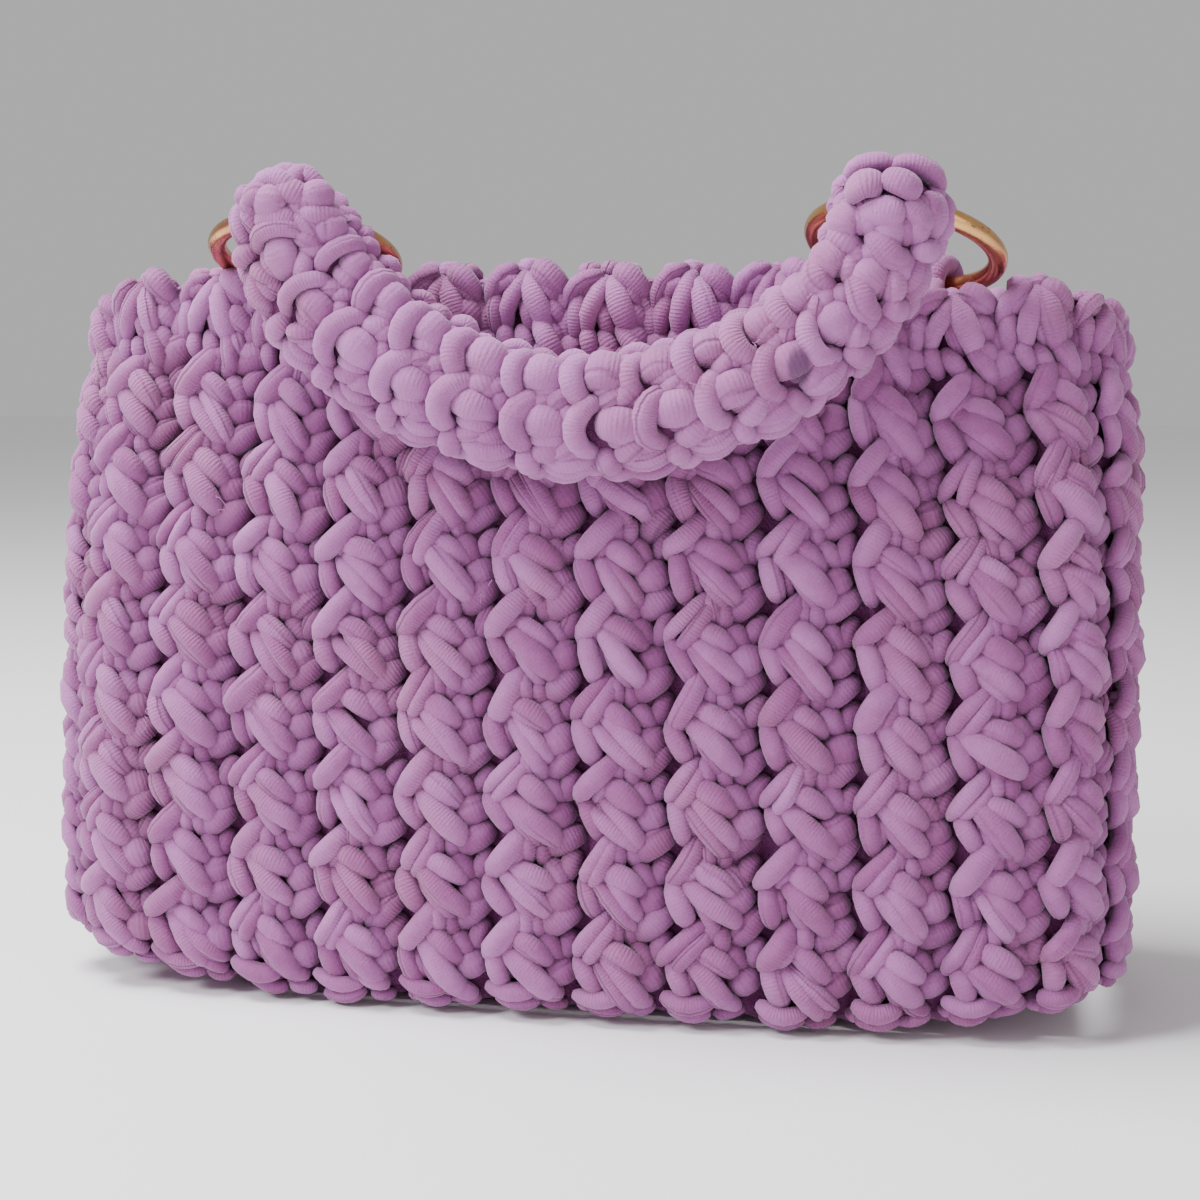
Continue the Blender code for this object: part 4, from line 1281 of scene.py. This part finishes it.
class HANDBAG_OT_rings(bpy.types.Operator):
    """Add the two metal rings and the loops of yarn that sew them on"""

    bl_idname = "handbag.rings"
    bl_label = "Rings and their loops"

    def execute(self, context):
        sizes, colours = context.scene.handle_sizes, context.scene.bag_colours
        radius = ring_radius(sizes)
        yarn = shared_yarn(colours)
        for word, warmth in (("left", 0.35), ("right", 0.0)):
            at_ring = ring_frame(sizes, word)
            ring = self.torus(f"ring_{word}_fine", at_ring, radius, sizes.ring_wire / 2, *RING_PARTS)
            ring.data.materials.append(metal_finish(f"gold_{word}", colours, warmth))
            dressed(ring, "gold_metal", f"ring_{word}")
            for number, turn in ((1, -1), (2, 1)):
                place = Matrix.Rotation(-turn * sizes.loop_angle, 4, "Z") @ Matrix.Translation((0, radius, 0))
                place = at_ring @ place @ Matrix.Rotation(math.pi / 2, 4, "Y")
                name = f"loop_{word}_{number}"
                reach = sizes.ring_wire / 2 + LOOP_SLACK + sizes.loop_yarn / 2
                loop = self.torus(name, place, reach, sizes.loop_yarn / 2, *LOOP_PARTS)
                loop.data.materials.append(yarn)
                self.mark(loop, place)
                dressed(loop, "body_yarn", f"ring_{name}")
        return {"FINISHED"}

    @staticmethod
    def torus(name, place, major, minor, around, across):
        deselect()
        bpy.ops.mesh.primitive_torus_add(
            major_radius=major, minor_radius=minor, major_segments=around, minor_segments=across
        )
        item = bpy.context.active_object
        item.name = item.data.name = name
        item.data.transform(place)
        bpy.ops.object.shade_smooth()
        return item

    @staticmethod
    def mark(loop, place):
        """Says where each point lies along the yarn, for the knit lines across it."""
        local = points_of(loop.data) @ np.array(place.inverted().to_3x3()).T
        local += np.array(place.inverted().translation)
        along = np.arctan2(local[:, 1], local[:, 0]) * LOOP_RADIUS
        marks = np.stack([along, np.zeros(len(along)), np.full(len(along), 0.5)], 1)
        loop.data.attributes.new("yarn", "FLOAT_VECTOR", "POINT").data.foreach_set("vector", marks.ravel())
        loop.data.attributes.new("under", "FLOAT", "POINT")


class HANDBAG_OT_threads(bpy.types.Operator):
    """Add the frayed ends that stick out between the stitches"""

    bl_idname = "handbag.threads"
    bl_label = "Frayed ends"

    def execute(self, context):
        colours = context.scene.bag_colours
        yarn = Yarn(Strand(*STRANDS["threads"]), SEEDS["threads"])
        for centre, spread in TUFTS:
            start = centre + yarn.random.normal(0, spread / 3, (TUFT_ENDS, 1, 3)) * np.array([1, 0.2, 1])
            heading = yarn.random.normal(0, spread / 2, (TUFT_ENDS, 1, 3))
            heading[..., 1] = -np.abs(heading[..., 1]) * 0.3
            bend = yarn.random.normal(0, spread / 5, (TUFT_ENDS, 3, 3)) * np.array([1, 0.4, 1])
            rows = np.concatenate([start, start + heading * 0.6, start + heading * 1.1], 1) + bend
            forward = np.array([0.0, -1.0, 0.0])
            yarn.add(spline(rows, yarn.strand.shares), forward, 0.0, TUFT_RADIUS, TUFT_RADIUS, 0.2)
        # Painted light: the frayed ends' copy of the yarn is paler still.
        material = yarn_finish("frayed_yarn", colours, 0.5)
        dressed(yarn.piece("frayed_ends", material), "body_yarn")
        return {"FINISHED"}


class HANDBAG_OT_stage(bpy.types.Operator):
    """Add the floor, the lights and the camera"""

    bl_idname = "handbag.stage"
    bl_label = "Studio"

    def execute(self, context):
        studio, colours = context.scene.studio_settings, context.scene.bag_colours
        deselect()
        bpy.ops.mesh.primitive_plane_add(size=8.0, location=(0, 0, -0.0004))
        floor = context.active_object
        floor.name = "studio_floor"
        floor.data.materials.append(plain_finish("floor_paint", colours.floor))
        for name, place, target, size, power, colour in LIGHTS:
            bpy.ops.object.light_add(type="AREA", location=place)
            light = context.active_object
            light.name = name
            light.data.shape = "DISK"
            light.data.size = size
            light.data.energy = power
            light.data.color = colour
            light.rotation_euler = (Vector(target) - Vector(place)).to_track_quat("-Z", "Y").to_euler()
        world = bpy.data.worlds.new("studio_air")
        world.use_nodes = True
        air = world.node_tree.nodes["Background"].inputs
        air["Color"].default_value = (1.0, 0.99, 1.0, 1.0)
        air["Strength"].default_value = AIR_LIGHT
        context.scene.world = world
        bpy.ops.object.camera_add(
            location=studio.camera_place, rotation=(math.pi / 2 - studio.camera_pitch, 0, studio.camera_yaw)
        )
        camera = context.active_object
        camera.name = "photo_camera"
        camera.data.sensor_width = 36.0
        camera.data.lens = studio.lens
        camera.data.clip_start = 0.01
        context.scene.camera = camera
        return {"FINISHED"}


STEPS = (
    HANDBAG_OT_core,
    HANDBAG_OT_ribs,
    HANDBAG_OT_inside,
    HANDBAG_OT_rim,
    HANDBAG_OT_base,
    HANDBAG_OT_handle,
    HANDBAG_OT_rings,
    HANDBAG_OT_threads,
    HANDBAG_OT_stage,
)


class HANDBAG_PT_panel(bpy.types.Panel):
    """The handbag's sizes, colours and steps"""

    bl_idname = "HANDBAG_PT_panel"
    bl_label = "Crocheted handbag"
    bl_space_type = "VIEW_3D"
    bl_region_type = "UI"
    bl_category = "Handbag"

    def draw(self, context):
        for settings in GROUPS:
            box = self.layout.box()
            for name in settings[1].__annotations__:
                box.prop(getattr(context.scene, settings[0]), name)
        for step in STEPS:
            self.layout.operator(step.bl_idname)


GROUPS = (
    ("bag_sizes", BagSizes),
    ("handle_sizes", HandleSizes),
    ("bag_colours", BagColours),
    ("studio_settings", StudioSettings),
)


def register():
    for name, group in GROUPS:
        bpy.utils.register_class(group)
        setattr(bpy.types.Scene, name, bpy.props.PointerProperty(type=group))
    for step in (*STEPS, HANDBAG_PT_panel):
        bpy.utils.register_class(step)


def unregister():
    for step in (HANDBAG_PT_panel, *reversed(STEPS)):
        bpy.utils.unregister_class(step)
    for name, group in reversed(GROUPS):
        delattr(bpy.types.Scene, name)
        bpy.utils.unregister_class(group)


def main():
    register()
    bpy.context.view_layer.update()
    for step in STEPS:
        family, name = step.bl_idname.split(".")
        getattr(getattr(bpy.ops, family), name)()


if __name__ == "__main__":
    main()
